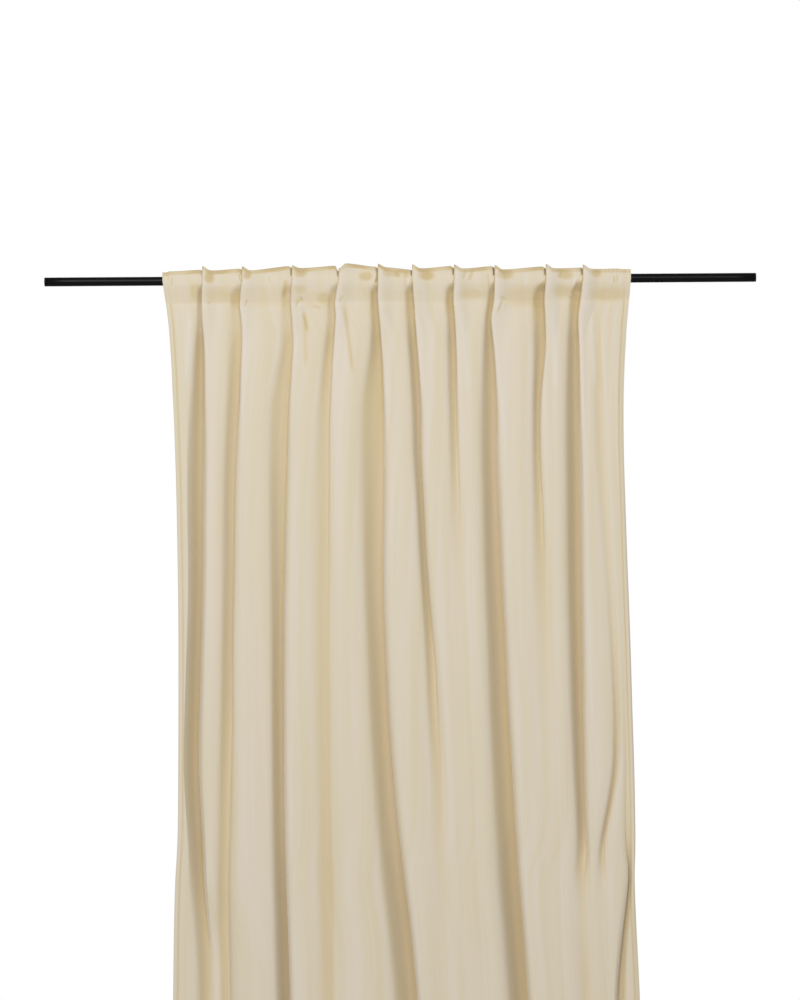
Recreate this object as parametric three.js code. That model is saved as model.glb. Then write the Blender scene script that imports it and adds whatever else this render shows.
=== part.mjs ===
// A velvet curtain hanging from a round steel rod. Millimetres, +Z up.
// The origin is on the rod's axis, halfway along it. The curtain's face looks towards -Y.
import * as THREE from 'three';

// Rod: a painted tube with a plug in each end
const ROD_LENGTH = 1600;
const ROD_RADIUS = 10;
const TUBE_WALL = 1;
const CAP_FLANGE = 4.5;
const CAP_INSERT = 20;
const CAP_BEVEL = 0.8;
const ROD_SIDES = 32;

// Clearance between pieces that touch
const GAP = 0.3;

// Cloth: the width it was cut to, and its drop from the rod's axis to the hem
const CLOTH_WIDTH = 1350;
const DROP = 2470;
const CLOTH_THICKNESS = 1.6;
const HEM_EXTRA = 0.8;
const SIDE_HEM = 10;
const HEM_SHARE = 0.4;
const BOTTOM_HEM = 80;

// Pleats: how far each one tucks under, the room between its three layers, how wide it opens at the top edge,
// and the drops between which the mouth widens and between which the pleat opens into a fold
const PLEAT_TUCK = 17.5;
const TUCK_ROOM = 4;
const EDGE_ROOM = 5;
const TOP_MOUTH = 8;
const MOUTH_WIDENS = { from: -14, to: 26 };
const PLEAT_OPENS = { from: 50, to: 150 };

// How far the cloth goes back where it runs under the next pleat, below the rod and above it
const RECESS_BELOW = { from: 6, to: 32, by: 13 };
const RECESS_ABOVE = { from: -6, to: -24, by: 6 };
const FULL_RECESS = 0.75;
const PLEAT_UPRIGHT = 0.5;

// Folds below the heading: their depth, and how far the wall on their right leans out where it is sharp and
// where it is soft, with the size of the nose on top of it
const FOLD_DEPTH = 34;
const LEAN = { sharp: 0.3, soft: 0.16 };
const NOSE = { sharp: 2, soft: 16 };
const NOSE_SOFTENS = { from: 110, to: 450 };
const NOSE_SHARE = 0.35;
const SMALL_FOLD = 8;
const FULL_FOLD = 20;
const LOW_FULL_FOLD = 40;
const FULL_FOLD_GROWS = { from: 450, to: 1200 };
const CREST = 3.5;
const CROWN_SHARE = 0.08;
const SIDE_CURL = 3;

// The left slope of a hanging fold: how far along its mouth each point lies, and how far down
const SLOPE = [
  { along: 0, down: 0.07 },
  { along: 0.24, down: 0.36 },
  { along: 0.48, down: 0.68 },
  { along: 0.76, down: 0.88 },
];

// A pleat where it runs under the next ridge: how far along its mouth each point lies, and how far back
const UNDERLAP = [
  { along: 0.15, back: 0.15 },
  { along: 0.42, back: 0.55 },
  { along: 0.75, back: 0.9 },
];

// The top edge, one row for each stretch between pleats: how high it stands above the rod's axis at the
// pleat's tip, in the dip after it, where it swells, and where it runs under the next pleat
const TOPS = [
  { tip: 19.7, dip: 21.5, swell: 24.6, end: 23.8 },
  { tip: 32.6, dip: 22.4, swell: 26.6, end: 25.3 },
  { tip: 31.3, dip: 22.2, swell: 31.8, end: 29 },
  { tip: 32.9, dip: 26.6, swell: 32, end: 20.5 },
  { tip: 26, dip: 36.5, swell: 29.5, end: 27.8 },
  { tip: 35.2, dip: 27, swell: 22.3, end: 21.2 },
  { tip: 33.3, dip: 24.1, swell: 29.7, end: 26.7 },
  { tip: 32.3, dip: 23.2, swell: 28.5, end: 27.2 },
  { tip: 30.5, dip: 20.3, swell: 27, end: 24.7 },
  { tip: 32, dip: 22.1, swell: 23.8, end: 24.1 },
  { tip: 30.3, dip: 20.5, swell: 21.2, end: 19.5 },
];
const TUCKED_TOP = 17.5;

// Places of these heights among a fold's control points, counted from the pleat's front turn
const TIP_POINT = 7.6;
const TIP_END = 0.5;
const DIP_POINT = 1.7;
const SWELL_SHARE = 0.6;
const UNDER_POINT = 2.4;
const TUCKED_FROM = 1.2;
const TUCKED_TO = 1.8;

// Tape behind the heading, the room behind the pleats' tops, and its gaps to the cloth and to the straps.
// The gaps are taken straight back, so they are wider than those between flat pieces where it slopes.
const TAPE_THICKNESS = 1;
const TAPE_GAP = 0.4;
const FOOT_GAP = 0.65;
const TAPE_RISE = 20;
const TAPE_DROP = 50;
const TAPE_INSET = 24;
const TAPE_EASE = 1.6;
const TAPE_EASE_HEIGHT = 14;
const TAPE_ROOM = 0.5;

// Tabs: straps behind the heading that the rod goes through. Each stands at a share of the way from its
// pleat to the next one.
const TAB_WIDTH = 20;
const TAB_THICKNESS = 1.2;
const TAB_TOP = 19;
const TAB_BOTTOM = 26;
const TAB_FOOT = 13.5;
const TAB_ARC_STEPS = 10;
const TAB_ARC = { from: 104, to: -112 };
const FIRST_TAB_SHARE = 0.5;
const TAB_SHARE = 0.62;

const CLOTH_COLOUR = 0xdccfb9;
const TAPE_COLOUR = 0xe6dcc9;
const ROD_COLOUR = 0x17171a;
const PLUG_COLOUR = 0x1f1f22;

// Drops below the rod's axis that the lists in FOLDS and SIDES follow
const LEVELS = [0, 50, 90, 160, 270, 420, 720, 1080, 1260, 1360, 1620, DROP];

// The folds, from left to right. edge is where the ridge to the right of a fold begins, mouth is how wide
// the fold opens to the left of it, and depth is how far it goes back next to the deepest ones. Where a fold
// has a sink, the ridge on its right drops towards its bottom by that share, between those two drops.
// A pleated fold starts at a pleat in the heading, and leans under the ridge on its right. A turned one
// leans under the ridge on its left.
const FOLDS = [
  { pleated: true,
    edge: [-443, -445, -444, -440, -440, -443, -448, -458, -451, -447, -430, -438],
    mouth: [14, 14, 16, 26, 33, 36, 32, 34, 32, 31, 34, 34],
    depth: [0.8, 0.8, 0.7, 0.65, 0.75, 0.85, 1, 1, 0.92, 0.68, 0.34, 0.3],
    sink: { from: 1350, to: 1560, by: 0.92 } },
  { pleated: true,
    edge: [-354, -360, -359, -358, -361, -370, -377, -387, -393, -396, -394, -390],
    mouth: [25, 25, 27, 31, 34, 32, 30, 28, 28, 28, 24, 30],
    depth: [0.45, 0.45, 0.35, 0.38, 0.5, 0.56, 0.6, 0.46, 0.34, 0.32, 0.36, 0.45] },
  { pleated: true,
    edge: [-242, -245, -245, -243, -249, -255, -264, -267, -266, -264, -257, -250],
    mouth: [26, 26, 26, 32, 50, 46, 33, 30, 30, 30, 32, 34],
    depth: [0.45, 0.45, 0.38, 0.38, 0.45, 0.6, 0.8, 0.85, 0.85, 0.85, 0.95, 1] },
  { pleated: true,
    edge: [-137, -146, -146, -152, -160, -162, -162, -162, -160, -158, -158, -152],
    mouth: [20, 20, 22, 25, 28, 36, 42, 42, 42, 42, 40, 40],
    depth: [0.55, 0.55, 0.5, 0.4, 0.3, 0.26, 0.22, 0.2, 0.2, 0.2, 0.16, 0.16] },
  { pleated: true,
    edge: [-49, -49, -46, -41, -37, -37, -40, -24, -8, 3, 29, 50],
    mouth: [22, 22, 24, 32, 56, 58, 47, 47, 50, 51, 52, 46],
    depth: [0.75, 0.75, 0.75, 0.65, 0.6, 0.7, 0.9, 1, 1, 1, 1, 1] },
  { pleated: true,
    edge: [28, 32, 34, 39, 46, 47, 63, 87, 94, 98, 104, 120],
    mouth: [24, 24, 25, 24, 25, 21, 21, 26, 28, 30, 30, 30],
    depth: [0.8, 0.8, 0.75, 0.62, 0.6, 0.6, 0.56, 0.22, 0.12, 0.09, 0.05, 0.05] },
  { pleated: true,
    edge: [122, 120, 123, 126, 127, 128, 134, 142, 146, 149, 160, 180],
    mouth: [22, 22, 22, 24, 24, 20, 16, 14, 14, 14, 14, 14],
    depth: [0.8, 0.8, 0.7, 0.52, 0.4, 0.26, 0.05, 0, 0, 0, 0, 0] },
  { pleated: true,
    edge: [213, 211, 205, 211, 217, 217, 228, 244, 254, 260, 278, 310],
    mouth: [18, 18, 18, 28, 39, 39, 43, 47, 48, 49, 47, 46],
    depth: [0.8, 0.8, 0.75, 0.68, 0.8, 0.92, 1.1, 1.1, 1.1, 1.1, 1.1, 1.1] },
  { pleated: true,
    edge: [328, 324, 326, 326, 316, 314, 325, 335, 341, 344, 355, 375],
    mouth: [30, 30, 32, 30, 23, 22, 26, 20, 16, 16, 16, 16],
    depth: [0.85, 0.85, 0.75, 0.6, 0.5, 0.36, 0.15, 0.03, 0, 0, 0, 0] },
  { pleated: true,
    edge: [411, 405, 400, 402, 403, 403, 405, 407, 411, 420, 432, 436],
    mouth: [28, 28, 26, 30, 34, 34, 35, 28, 24, 38, 48, 48],
    depth: [0.85, 0.85, 0.8, 0.75, 0.85, 0.95, 1, 0.85, 0.6, 0.14, 0.12, 0.08] },
  { pleated: false,
    edge: [478, 474, 448, 452, 462, 464, 478, 483, 451, 441, 452, 458],
    mouth: [13, 13, 13, 16, 28, 26, 13, 13, 12, 11, 10, 10],
    depth: [0, 0, 0.06, 0.08, 0.12, 0.12, 0.1, 0.28, 0.3, 0.05, 0, 0] },
  { pleated: false, turned: true,
    edge: [492, 490, 480, 476, 478, 483, 498, 507, 511, 511, 496, 506],
    mouth: [10, 10, 10, 10, 9, 8, 7, 5, 6, 10, 21, 24],
    depth: [0, 0, 0, 0, 0, 0, 0, 0.05, 0.16, 0.36, 0.5, 0.6],
    sink: { from: 1200, to: 1500, by: 0.5 } },
];

// The cloth's two side edges
const SIDES = {
  left: [-534, -527, -522, -517, -512, -507, -503, -505, -508, -514, -520, -526],
  right: [518, 514, 510, 505, 500, 500, 508, 517, 519, 517, 528, 540],
};

// The front of the hanging ridges, from the top edge down: it bears on the rod and falls back below it
const FRONT = [
  { drop: -40, y: -2.5 },
  { drop: -28, y: -5.5 },
  { drop: -20, y: -8.5 },
  { drop: -12, y: -12.4 },
  { drop: 0, y: -14.4 },
  { drop: 10, y: -14.2 },
  { drop: 22, y: -12.4 },
  { drop: 36, y: -9.8 },
  { drop: 50, y: -7.6 },
  { drop: 60, y: -8.6 },
  { drop: 120, y: -10 },
  { drop: 270, y: -14 },
  { drop: 580, y: -19 },
  { drop: 1220, y: -23 },
  { drop: DROP, y: -26 },
];

// Drops at which the cloth is cut into rows. The first stands for its top edge.
const TOP_DROP = -28;
const ROWS = [
  TOP_DROP, -14, -7, 0, 12, 28, TAPE_DROP, 75, 110, 150, 210, 280,
  400, 580, 800, 1050, 1260, 1380, 1480, 1640, DROP - BOTTOM_HEM, DROP,
];

// Places on each fold's control points where the cloth is cut into columns
const PLEAT_COLUMNS = [-1, 0, 1.5, 3, 4, 5, 6, 7, 8, 9, 10];
const LOOSE_COLUMNS = [-1, 0, 2, 4, 5.5, 7, 8, 10];
const TURNED_COLUMNS = [-1, 0, 2, 3, 4.5, 6, 8, 10];
const FOLD_POINTS = 12;
const EDGE_POINTS = 4;
const POINT_COUNT = EDGE_POINTS + FOLDS.length * FOLD_POINTS + 2;
const LENGTH_STEPS = 4;
const SOLVE_STEPS = 24;

const mix = (from, to, part) => from + (to - from) * part;

const smoothStep = (value) => {
  const part = Math.min(Math.max(value, 0), 1);
  return part * part * (3 - 2 * part);
};

const ramp = (range, value) => smoothStep((value - range.from) / (range.to - range.from));

// The slope of a list at one of its levels, from the levels on either side
function slopeAt(list, level) {
  const before = Math.max(level - 1, 0);
  const after = Math.min(level + 1, LEVELS.length - 1);
  return (list[after] - list[before]) / (LEVELS[after] - LEVELS[before]);
}

// A list's value at any drop, as a smooth curve through its levels
function valueAt(list, drop) {
  const place = Math.min(Math.max(drop, LEVELS[0]), DROP);
  let level = 0;
  while (level < LEVELS.length - 2 && place > LEVELS[level + 1]) level += 1;
  const span = LEVELS[level + 1] - LEVELS[level];
  const t = (place - LEVELS[level]) / span;
  const start = list[level] + slopeAt(list, level) * span * t * (1 - t);
  const end = list[level + 1] - slopeAt(list, level + 1) * span * (1 - t) * t;
  return mix(start, end, smoothStep(t));
}

function frontAt(drop) {
  const after = Math.max(FRONT.findIndex((row) => row.drop >= drop), 1);
  const [above, below] = [FRONT[after - 1], FRONT[after]];
  return mix(above.y, below.y, (drop - above.drop) / (below.drop - above.drop));
}

function recessAt(drop) {
  return RECESS_BELOW.by * ramp(RECESS_BELOW, drop) + RECESS_ABOVE.by * ramp(RECESS_ABOVE, drop);
}

// A pleat in the heading: the cloth runs under the next ridge, turns, comes back and turns again
function pleatPoints(edge, mouth, tuck, recess) {
  const start = edge - mouth;
  const middle = -TUCK_ROOM;
  const front = -TUCK_ROOM - EDGE_ROOM;
  return [
    [start - 3, 0],
    ...UNDERLAP.map(({ along, back }) => [start + along * mouth, back * recess]),
    [edge + tuck, recess],
    [edge + tuck, middle + recess],
    [edge + 0.3 * tuck, middle + recess / 2],
    [edge - 1, middle],
    [edge - 1, front],
    [edge + 10, front],
    [edge + 32, -0.4],
  ];
}

// A hanging fold: a soft shoulder, a slope, a bottom, and a wall up to the nose of the next ridge.
// room is the free width of the ridge on either side. A shallow fold is a wide soft trough instead.
function hangingPoints(fold, room) {
  const { edge, mouth, depth, softness, leftBack, rightBack } = fold;
  const start = edge - mouth;
  const rise = Math.min(depth / FOLD_DEPTH, 1);
  const height = Math.max(depth - rightBack, 0);
  const lean = mix(LEAN.sharp, LEAN.soft, softness) * height;
  const nose = mix(NOSE.sharp, NOSE.soft, softness) * Math.min(height / SMALL_FOLD, 1);
  const crest = CREST * rise * (1 - 0.7 * softness);
  const points = [
    [start - Math.min(12, room.left / 4), leftBack],
    ...SLOPE.map(({ along, down }) => [start + along * mouth, mix(leftBack, depth, down)]),
    [edge + 0.75 * lean, depth],
    [edge + lean, mix(rightBack, depth, 0.62)],
    [edge - mix(0.4, 0.2, softness) * nose, rightBack + Math.min(nose, NOSE_SHARE * height)],
    [edge + mix(-0.1, 0.25, softness) * nose, rightBack + 0.3 * rise * nose - crest],
    [edge + Math.min(6 + nose, room.right / 5), rightBack - 1.2 * crest],
    [edge + Math.min(30, room.right / 2.2), rightBack],
  ];
  const last = points.length - 1;
  const full = smoothStep(depth / fold.fullFold);
  const deepest = Math.max(depth - leftBack, depth - rightBack, 0);
  return points.map(([x, y], index) => {
    const part = index / last;
    const even = mix(points[0][0], points[last][0], part);
    const trough = mix(leftBack, rightBack, part) + deepest * Math.sin(Math.PI * part) ** 2;
    return [mix(even, x, full), mix(y, trough, (1 - full) * softness)];
  });
}

// The same fold seen in a mirror, for one that leans under the ridge on its left
function turnedPoints(fold, room) {
  const mirrored = {
    ...fold,
    edge: fold.mouth - fold.edge,
    leftBack: fold.rightBack,
    rightBack: fold.leftBack,
  };
  return hangingPoints(mirrored, { left: room.right, right: room.left })
    .map(([x, y]) => [-x, y])
    .reverse();
}

// The control points of one fold at a drop, between its pleat and its hanging shape
function foldPoints(row, fold, room, drop, tuck) {
  const hanging = row.turned ? turnedPoints(fold, room) : hangingPoints(fold, room);
  if (!row.pleated) return hanging;
  const open = ramp(PLEAT_OPENS, drop);
  const recess = recessAt(drop) * Math.min(1, row.depth[0] / FULL_RECESS);
  const mouth = mix(TOP_MOUTH, fold.mouth, ramp(MOUTH_WIDENS, drop));
  const pleat = pleatPoints(fold.edge, mouth, tuck, recess);
  return hanging.map(([x, y], index) => [mix(pleat[index][0], x, open), mix(pleat[index][1], y, open)]);
}

// The control points of the cloth seen from above at one drop, for a given fullness of its folds
function controlPoints(drop, fullness) {
  const left = valueAt(SIDES.left, drop);
  const right = valueAt(SIDES.right, drop);
  const open = ramp(PLEAT_OPENS, drop);
  const curl = SIDE_CURL * open;
  const lowFull = mix(FULL_FOLD, LOW_FULL_FOLD, ramp(FULL_FOLD_GROWS, drop));
  const folds = FOLDS.map((row) => {
    const depth = Math.max(valueAt(row.depth, drop), 0) * FOLD_DEPTH * fullness * (row.pleated ? 1 : open);
    return {
      edge: valueAt(row.edge, drop),
      mouth: valueAt(row.mouth, drop),
      depth,
      softness: ramp(NOSE_SOFTENS, drop),
      fullFold: row.pleated ? lowFull : FULL_FOLD,
      rightBack: row.sink ? row.sink.by * ramp(row.sink, drop) * depth : 0,
    };
  });
  const hem = Math.min(SIDE_HEM, HEM_SHARE * (folds[0].edge - folds[0].mouth - left));
  const points = [[left, curl], [left + hem, curl / 3], [left + 2 * hem, 0]];
  let back = 0;
  folds.forEach((fold, index) => {
    fold.leftBack = back;
    back = fold.rightBack;
    const before = index === 0 ? left + 2 * hem : folds[index - 1].edge;
    const next = folds[index + 1];
    const after = next ? next.edge - next.mouth : right;
    const room = { left: fold.edge - fold.mouth - before, right: after - fold.edge };
    const own = foldPoints(FOLDS[index], fold, room, drop, PLEAT_TUCK * fullness);
    const [fromX, fromY] = points.at(-1);
    const crown = CROWN_SHARE * open * (own[0][0] - fromX);
    const ridge = [mix(fromX, own[0][0], 0.5), mix(fromY, own[0][1], 0.5) - crown];
    points.push(ridge, ...own);
  });
  const gap = right - points.at(-1)[0];
  points.push([right - 0.6 * gap, back], [right - 0.3 * gap, back + curl / 3], [right, back + curl]);
  return points;
}

// A point on the smooth curve that the control points guide, with its direction
function curvePoint(points, place) {
  const last = points.length - 1;
  const span = Math.min(Math.floor(place), last - 1);
  const t = place - span;
  const point = (index) => {
    if (index < 0) return points[0].map((value, axis) => 2 * value - points[1][axis]);
    if (index > last) return points[last].map((value, axis) => 2 * value - points[last - 1][axis]);
    return points[index];
  };
  const weights = [(1 - t) ** 3, 3 * t ** 3 - 6 * t ** 2 + 4, -3 * t ** 3 + 3 * t ** 2 + 3 * t + 1, t ** 3];
  const slopes = [-((1 - t) ** 2), 3 * t ** 2 - 4 * t, -3 * t ** 2 + 2 * t + 1, t ** 2];
  const sum = (factors, axis) => factors.reduce((total, factor, step) => (
    total + factor * point(span - 1 + step)[axis]), 0);
  return {
    x: sum(weights, 0) / 6,
    y: sum(weights, 1) / 6,
    alongX: sum(slopes, 0) / 2,
    alongY: sum(slopes, 1) / 2,
  };
}

function curveLength(points) {
  const steps = (points.length - 1) * LENGTH_STEPS;
  let length = 0;
  let before = curvePoint(points, 0);
  for (let step = 1; step <= steps; step += 1) {
    const here = curvePoint(points, step / LENGTH_STEPS);
    length += Math.hypot(here.x - before.x, here.y - before.y);
    before = here;
  }
  return length;
}

// The cloth's curve at one drop, its folds made as full as the cut width needs. Above the rod they are as
// full as they are there.
function clothCurve(drop) {
  let low = 0.1;
  let high = 3;
  for (let step = 0; step < SOLVE_STEPS; step += 1) {
    const middle = (low + high) / 2;
    if (curveLength(controlPoints(Math.max(drop, 0), middle)) < CLOTH_WIDTH) low = middle;
    else high = middle;
  }
  return controlPoints(drop, low);
}

// Where the columns lie along the curve
function columnPlaces() {
  const places = [0, 1, 2];
  FOLDS.forEach((fold, index) => {
    const loose = fold.turned ? TURNED_COLUMNS : LOOSE_COLUMNS;
    const columns = fold.pleated ? PLEAT_COLUMNS : loose;
    columns.forEach((column) => places.push(EDGE_POINTS + index * FOLD_POINTS + column));
  });
  return [...places, POINT_COUNT - 2, POINT_COUNT - 1];
}

// The heights of TOPS and of the tucked layers between them, with their places along the curve
function topKnots() {
  const pleats = FOLDS.filter((fold) => fold.pleated).length;
  const knots = [];
  TOPS.forEach((row, index) => {
    const fold = EDGE_POINTS + index * FOLD_POINTS;
    const tip = index === 0 ? 0 : fold - FOLD_POINTS + TIP_POINT;
    const end = index === pleats ? POINT_COUNT - 1 : fold + UNDER_POINT;
    const dip = tip + DIP_POINT;
    knots.push([tip, row.tip], [tip + TIP_END, row.tip - 1], [dip, row.dip]);
    knots.push([mix(dip, end, SWELL_SHARE), row.swell], [end, row.end]);
    if (index === pleats) return;
    knots.push([end + TUCKED_FROM, TUCKED_TOP], [fold + TIP_POINT - TUCKED_TO, TUCKED_TOP]);
  });
  return knots;
}

const topEdge = topKnots();

// How high the top edge stands above the rod's axis
function topHeight(place) {
  const after = Math.min(Math.max(topEdge.findIndex(([knot]) => knot >= place), 1), topEdge.length - 1);
  const [[fromPlace, fromHeight], [toPlace, toHeight]] = [topEdge[after - 1], topEdge[after]];
  return mix(fromHeight, toHeight, smoothStep((place - fromPlace) / (toPlace - fromPlace)));
}

const columns = columnPlaces();
const curves = new Map(ROWS.map((drop) => [drop, clothCurve(drop)]));

// One point of the cloth's middle layer, moved back from it by a distance
function clothPoint(place, drop, back) {
  const spot = curvePoint(curves.get(drop), place);
  const size = Math.hypot(spot.alongX, spot.alongY);
  const z = drop === TOP_DROP ? topHeight(place) : -drop;
  const raised = Math.min(Math.max(-spot.y / (TUCK_ROOM + EDGE_ROOM), 0), 1) * PLEAT_UPRIGHT;
  const front = z > 0 ? mix(frontAt(-z), frontAt(0), raised) : frontAt(-z);
  const x = spot.x - (back * spot.alongY) / size;
  const y = front + spot.y + (back * spot.alongX) / size;
  return new THREE.Vector3(x, y, z);
}

// A closed sheet between two grids of points that have the same rows and columns
function sheetGeometry(frontGrid, backGrid) {
  const rowCount = frontGrid.length;
  const columnCount = frontGrid[0].length;
  const layer = rowCount * columnCount;
  const positions = [...frontGrid.flat(), ...backGrid.flat()].flatMap((point) => point.toArray());
  const front = (row, column) => row * columnCount + column;
  const back = (row, column) => layer + front(row, column);
  const faces = [];
  const quad = (a, b, c, d) => faces.push(a, b, c, a, c, d);
  for (let row = 0; row < rowCount - 1; row += 1) {
    const below = row + 1;
    for (let column = 0; column < columnCount - 1; column += 1) {
      const right = column + 1;
      quad(front(row, column), front(below, column), front(below, right), front(row, right));
      quad(back(row, column), back(row, right), back(below, right), back(below, column));
    }
  }
  const lastRow = rowCount - 1;
  const lastColumn = columnCount - 1;
  for (let column = 0; column < lastColumn; column += 1) {
    const right = column + 1;
    quad(front(0, column), front(0, right), back(0, right), back(0, column));
    quad(front(lastRow, column), back(lastRow, column), back(lastRow, right), front(lastRow, right));
  }
  for (let row = 0; row < lastRow; row += 1) {
    const below = row + 1;
    quad(front(row, 0), back(row, 0), back(below, 0), front(below, 0));
    quad(front(row, lastColumn), front(below, lastColumn), back(below, lastColumn), back(row, lastColumn));
  }
  const geometry = new THREE.BufferGeometry();
  geometry.setAttribute('position', new THREE.Float32BufferAttribute(positions, 3));
  geometry.setIndex(faces);
  geometry.computeVertexNormals();
  return geometry;
}

// The curtain's cloth, thicker behind where its side and bottom hems are turned over
function curtainCloth() {
  const half = CLOTH_THICKNESS / 2;
  const sideColumns = 2;
  const grid = (depthOf) => ROWS.map((drop) => columns.map((place, column) => (
    clothPoint(place, drop, depthOf(drop, column)))));
  const hemmed = (drop, column) => (
    column < sideColumns || column >= columns.length - sideColumns || drop >= DROP - BOTTOM_HEM);
  const front = grid(() => -half);
  const back = grid((drop, column) => half + (hemmed(drop, column) ? HEM_EXTRA : 0));
  return sheetGeometry(front, back);
}

// The tape's rows, and how far behind the rod's axis the pleats' backs reach there
const tapeDrops = [-TAPE_RISE, ...ROWS.filter((drop) => drop > -TAPE_RISE && drop <= TAPE_DROP)];
const tapeRows = tapeDrops.map((drop) => {
  const eased = drop < 0 ? TAPE_EASE * drop : drop;
  const room = TAPE_ROOM * smoothStep(-drop / TAPE_EASE_HEIGHT);
  return { drop, y: frontAt(drop) + recessAt(eased) + room };
});

function tapeAt(drop) {
  const after = Math.max(tapeRows.findIndex((row) => row.drop >= drop), 1);
  const [above, below] = [tapeRows[after - 1], tapeRows[after]];
  return mix(above.y, below.y, (drop - above.drop) / (below.drop - above.drop));
}

// The tape that the pleats are sewn to. It runs straight behind them, down to the stitch line below the rod.
function headingTape() {
  const near = CLOTH_THICKNESS / 2 + TAPE_GAP;
  const ends = [SIDES.left[0] + TAPE_INSET, SIDES.right[0] - TAPE_INSET];
  const grid = (back) => tapeRows.map(({ drop, y }) => (
    ends.map((x) => new THREE.Vector3(x, y + back, -drop))));
  return sheetGeometry(grid(near), grid(near + TAPE_THICKNESS));
}

// A strap's side outline in Y and Z: a foot on the tape, a loop behind the rod, and another foot
function tabOutline() {
  const half = TAB_THICKNESS / 2;
  const onTape = CLOTH_THICKNESS / 2 + TAPE_GAP + TAPE_THICKNESS + FOOT_GAP + half;
  const radius = ROD_RADIUS + GAP + half;
  const foot = (z) => new THREE.Vector2(tapeAt(-z) + onTape, z);
  const path = [foot(TAB_TOP), foot(TAB_FOOT)];
  for (let step = 0; step <= TAB_ARC_STEPS; step += 1) {
    const angle = THREE.MathUtils.degToRad(mix(TAB_ARC.from, TAB_ARC.to, step / TAB_ARC_STEPS));
    path.push(new THREE.Vector2(radius * Math.cos(angle), radius * Math.sin(angle)));
  }
  path.push(foot(-TAB_FOOT), foot(-TAB_BOTTOM));
  const side = (point, index, sign) => {
    const before = path[Math.max(index - 1, 0)];
    const after = path[Math.min(index + 1, path.length - 1)];
    const along = new THREE.Vector2().subVectors(after, before).normalize();
    return new THREE.Vector2(point.x - sign * half * along.y, point.y + sign * half * along.x);
  };
  const outer = path.map((point, index) => side(point, index, 1));
  const inner = path.map((point, index) => side(point, index, -1)).reverse();
  return new THREE.Shape([...outer, ...inner]);
}

function tabGeometry() {
  const geometry = new THREE.ExtrudeGeometry(tabOutline(), { depth: TAB_WIDTH, bevelEnabled: false });
  geometry.translate(0, 0, -TAB_WIDTH / 2);
  // The outline's plane is turned so that its first axis is Y, its second is Z and its depth is X
  geometry.applyMatrix4(new THREE.Matrix4().makeBasis(
    new THREE.Vector3(0, 1, 0), new THREE.Vector3(0, 0, 1), new THREE.Vector3(1, 0, 0)));
  return geometry;
}

// A strap stands behind the flat stretch between each pleat and the next one
function tabPlaces() {
  const pleats = FOLDS.filter((fold) => fold.pleated).map((fold) => fold.edge[0]);
  const starts = [SIDES.left[0], ...pleats];
  const ends = [...pleats, SIDES.right[0]];
  return starts.map((start, index) => mix(start, ends[index], index === 0 ? FIRST_TAB_SHARE : TAB_SHARE));
}

// A round piece on the rod's axis, from its section as distances along the axis and from it
function turnedPiece(section) {
  const outline = section.map(([along, radius]) => new THREE.Vector2(radius, along));
  const geometry = new THREE.LatheGeometry(outline, ROD_SIDES);
  geometry.rotateZ(-Math.PI / 2);
  return geometry;
}

function rodTube() {
  const half = ROD_LENGTH / 2 - CAP_FLANGE - GAP;
  const inside = ROD_RADIUS - TUBE_WALL;
  return turnedPiece([
    [-half, inside], [-half, ROD_RADIUS], [half, ROD_RADIUS], [half, inside], [-half, inside],
  ]);
}

function rodCap() {
  const insert = ROD_RADIUS - TUBE_WALL - GAP;
  return turnedPiece([
    [-CAP_FLANGE - CAP_INSERT, 0], [-CAP_FLANGE - CAP_INSERT, insert], [-CAP_FLANGE, insert],
    [-CAP_FLANGE, ROD_RADIUS], [-CAP_BEVEL, ROD_RADIUS], [0, ROD_RADIUS - CAP_BEVEL], [0, 0],
  ]);
}

const clothMaterial = new THREE.MeshStandardMaterial({ color: CLOTH_COLOUR, roughness: 0.9, metalness: 0 });
const tapeMaterial = new THREE.MeshStandardMaterial({ color: TAPE_COLOUR, roughness: 0.85, metalness: 0 });
const rodMaterial = new THREE.MeshStandardMaterial({ color: ROD_COLOUR, roughness: 0.4, metalness: 0.6 });
const plugMaterial = new THREE.MeshStandardMaterial({ color: PLUG_COLOUR, roughness: 0.5, metalness: 0 });

const curtain = new THREE.Group();

function addPiece(name, geometry, material) {
  const mesh = new THREE.Mesh(geometry, material);
  mesh.name = name;
  curtain.add(mesh);
  return mesh;
}

addPiece('curtain_cloth', curtainCloth(), clothMaterial);
addPiece('heading_tape', headingTape(), tapeMaterial);

tabPlaces().forEach((x, index) => {
  const number = String(index + 1).padStart(2, '0');
  addPiece(`tab_${number}`, tabGeometry(), tapeMaterial).position.x = x;
});

addPiece('rod_tube', rodTube(), rodMaterial);

const leftCap = addPiece('rod_cap_left', rodCap(), plugMaterial);
leftCap.rotation.z = Math.PI;
leftCap.position.x = -ROD_LENGTH / 2;
const rightCap = addPiece('rod_cap_right', rodCap(), plugMaterial);
rightCap.position.x = ROD_LENGTH / 2;

export default curtain;
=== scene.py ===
"""The looks of a velvet curtain on a black rod: its cloth, heading, straps, stitching, rod and stage."""

import math

import bpy
import numpy as np
from mathutils import Matrix, Vector


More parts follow.
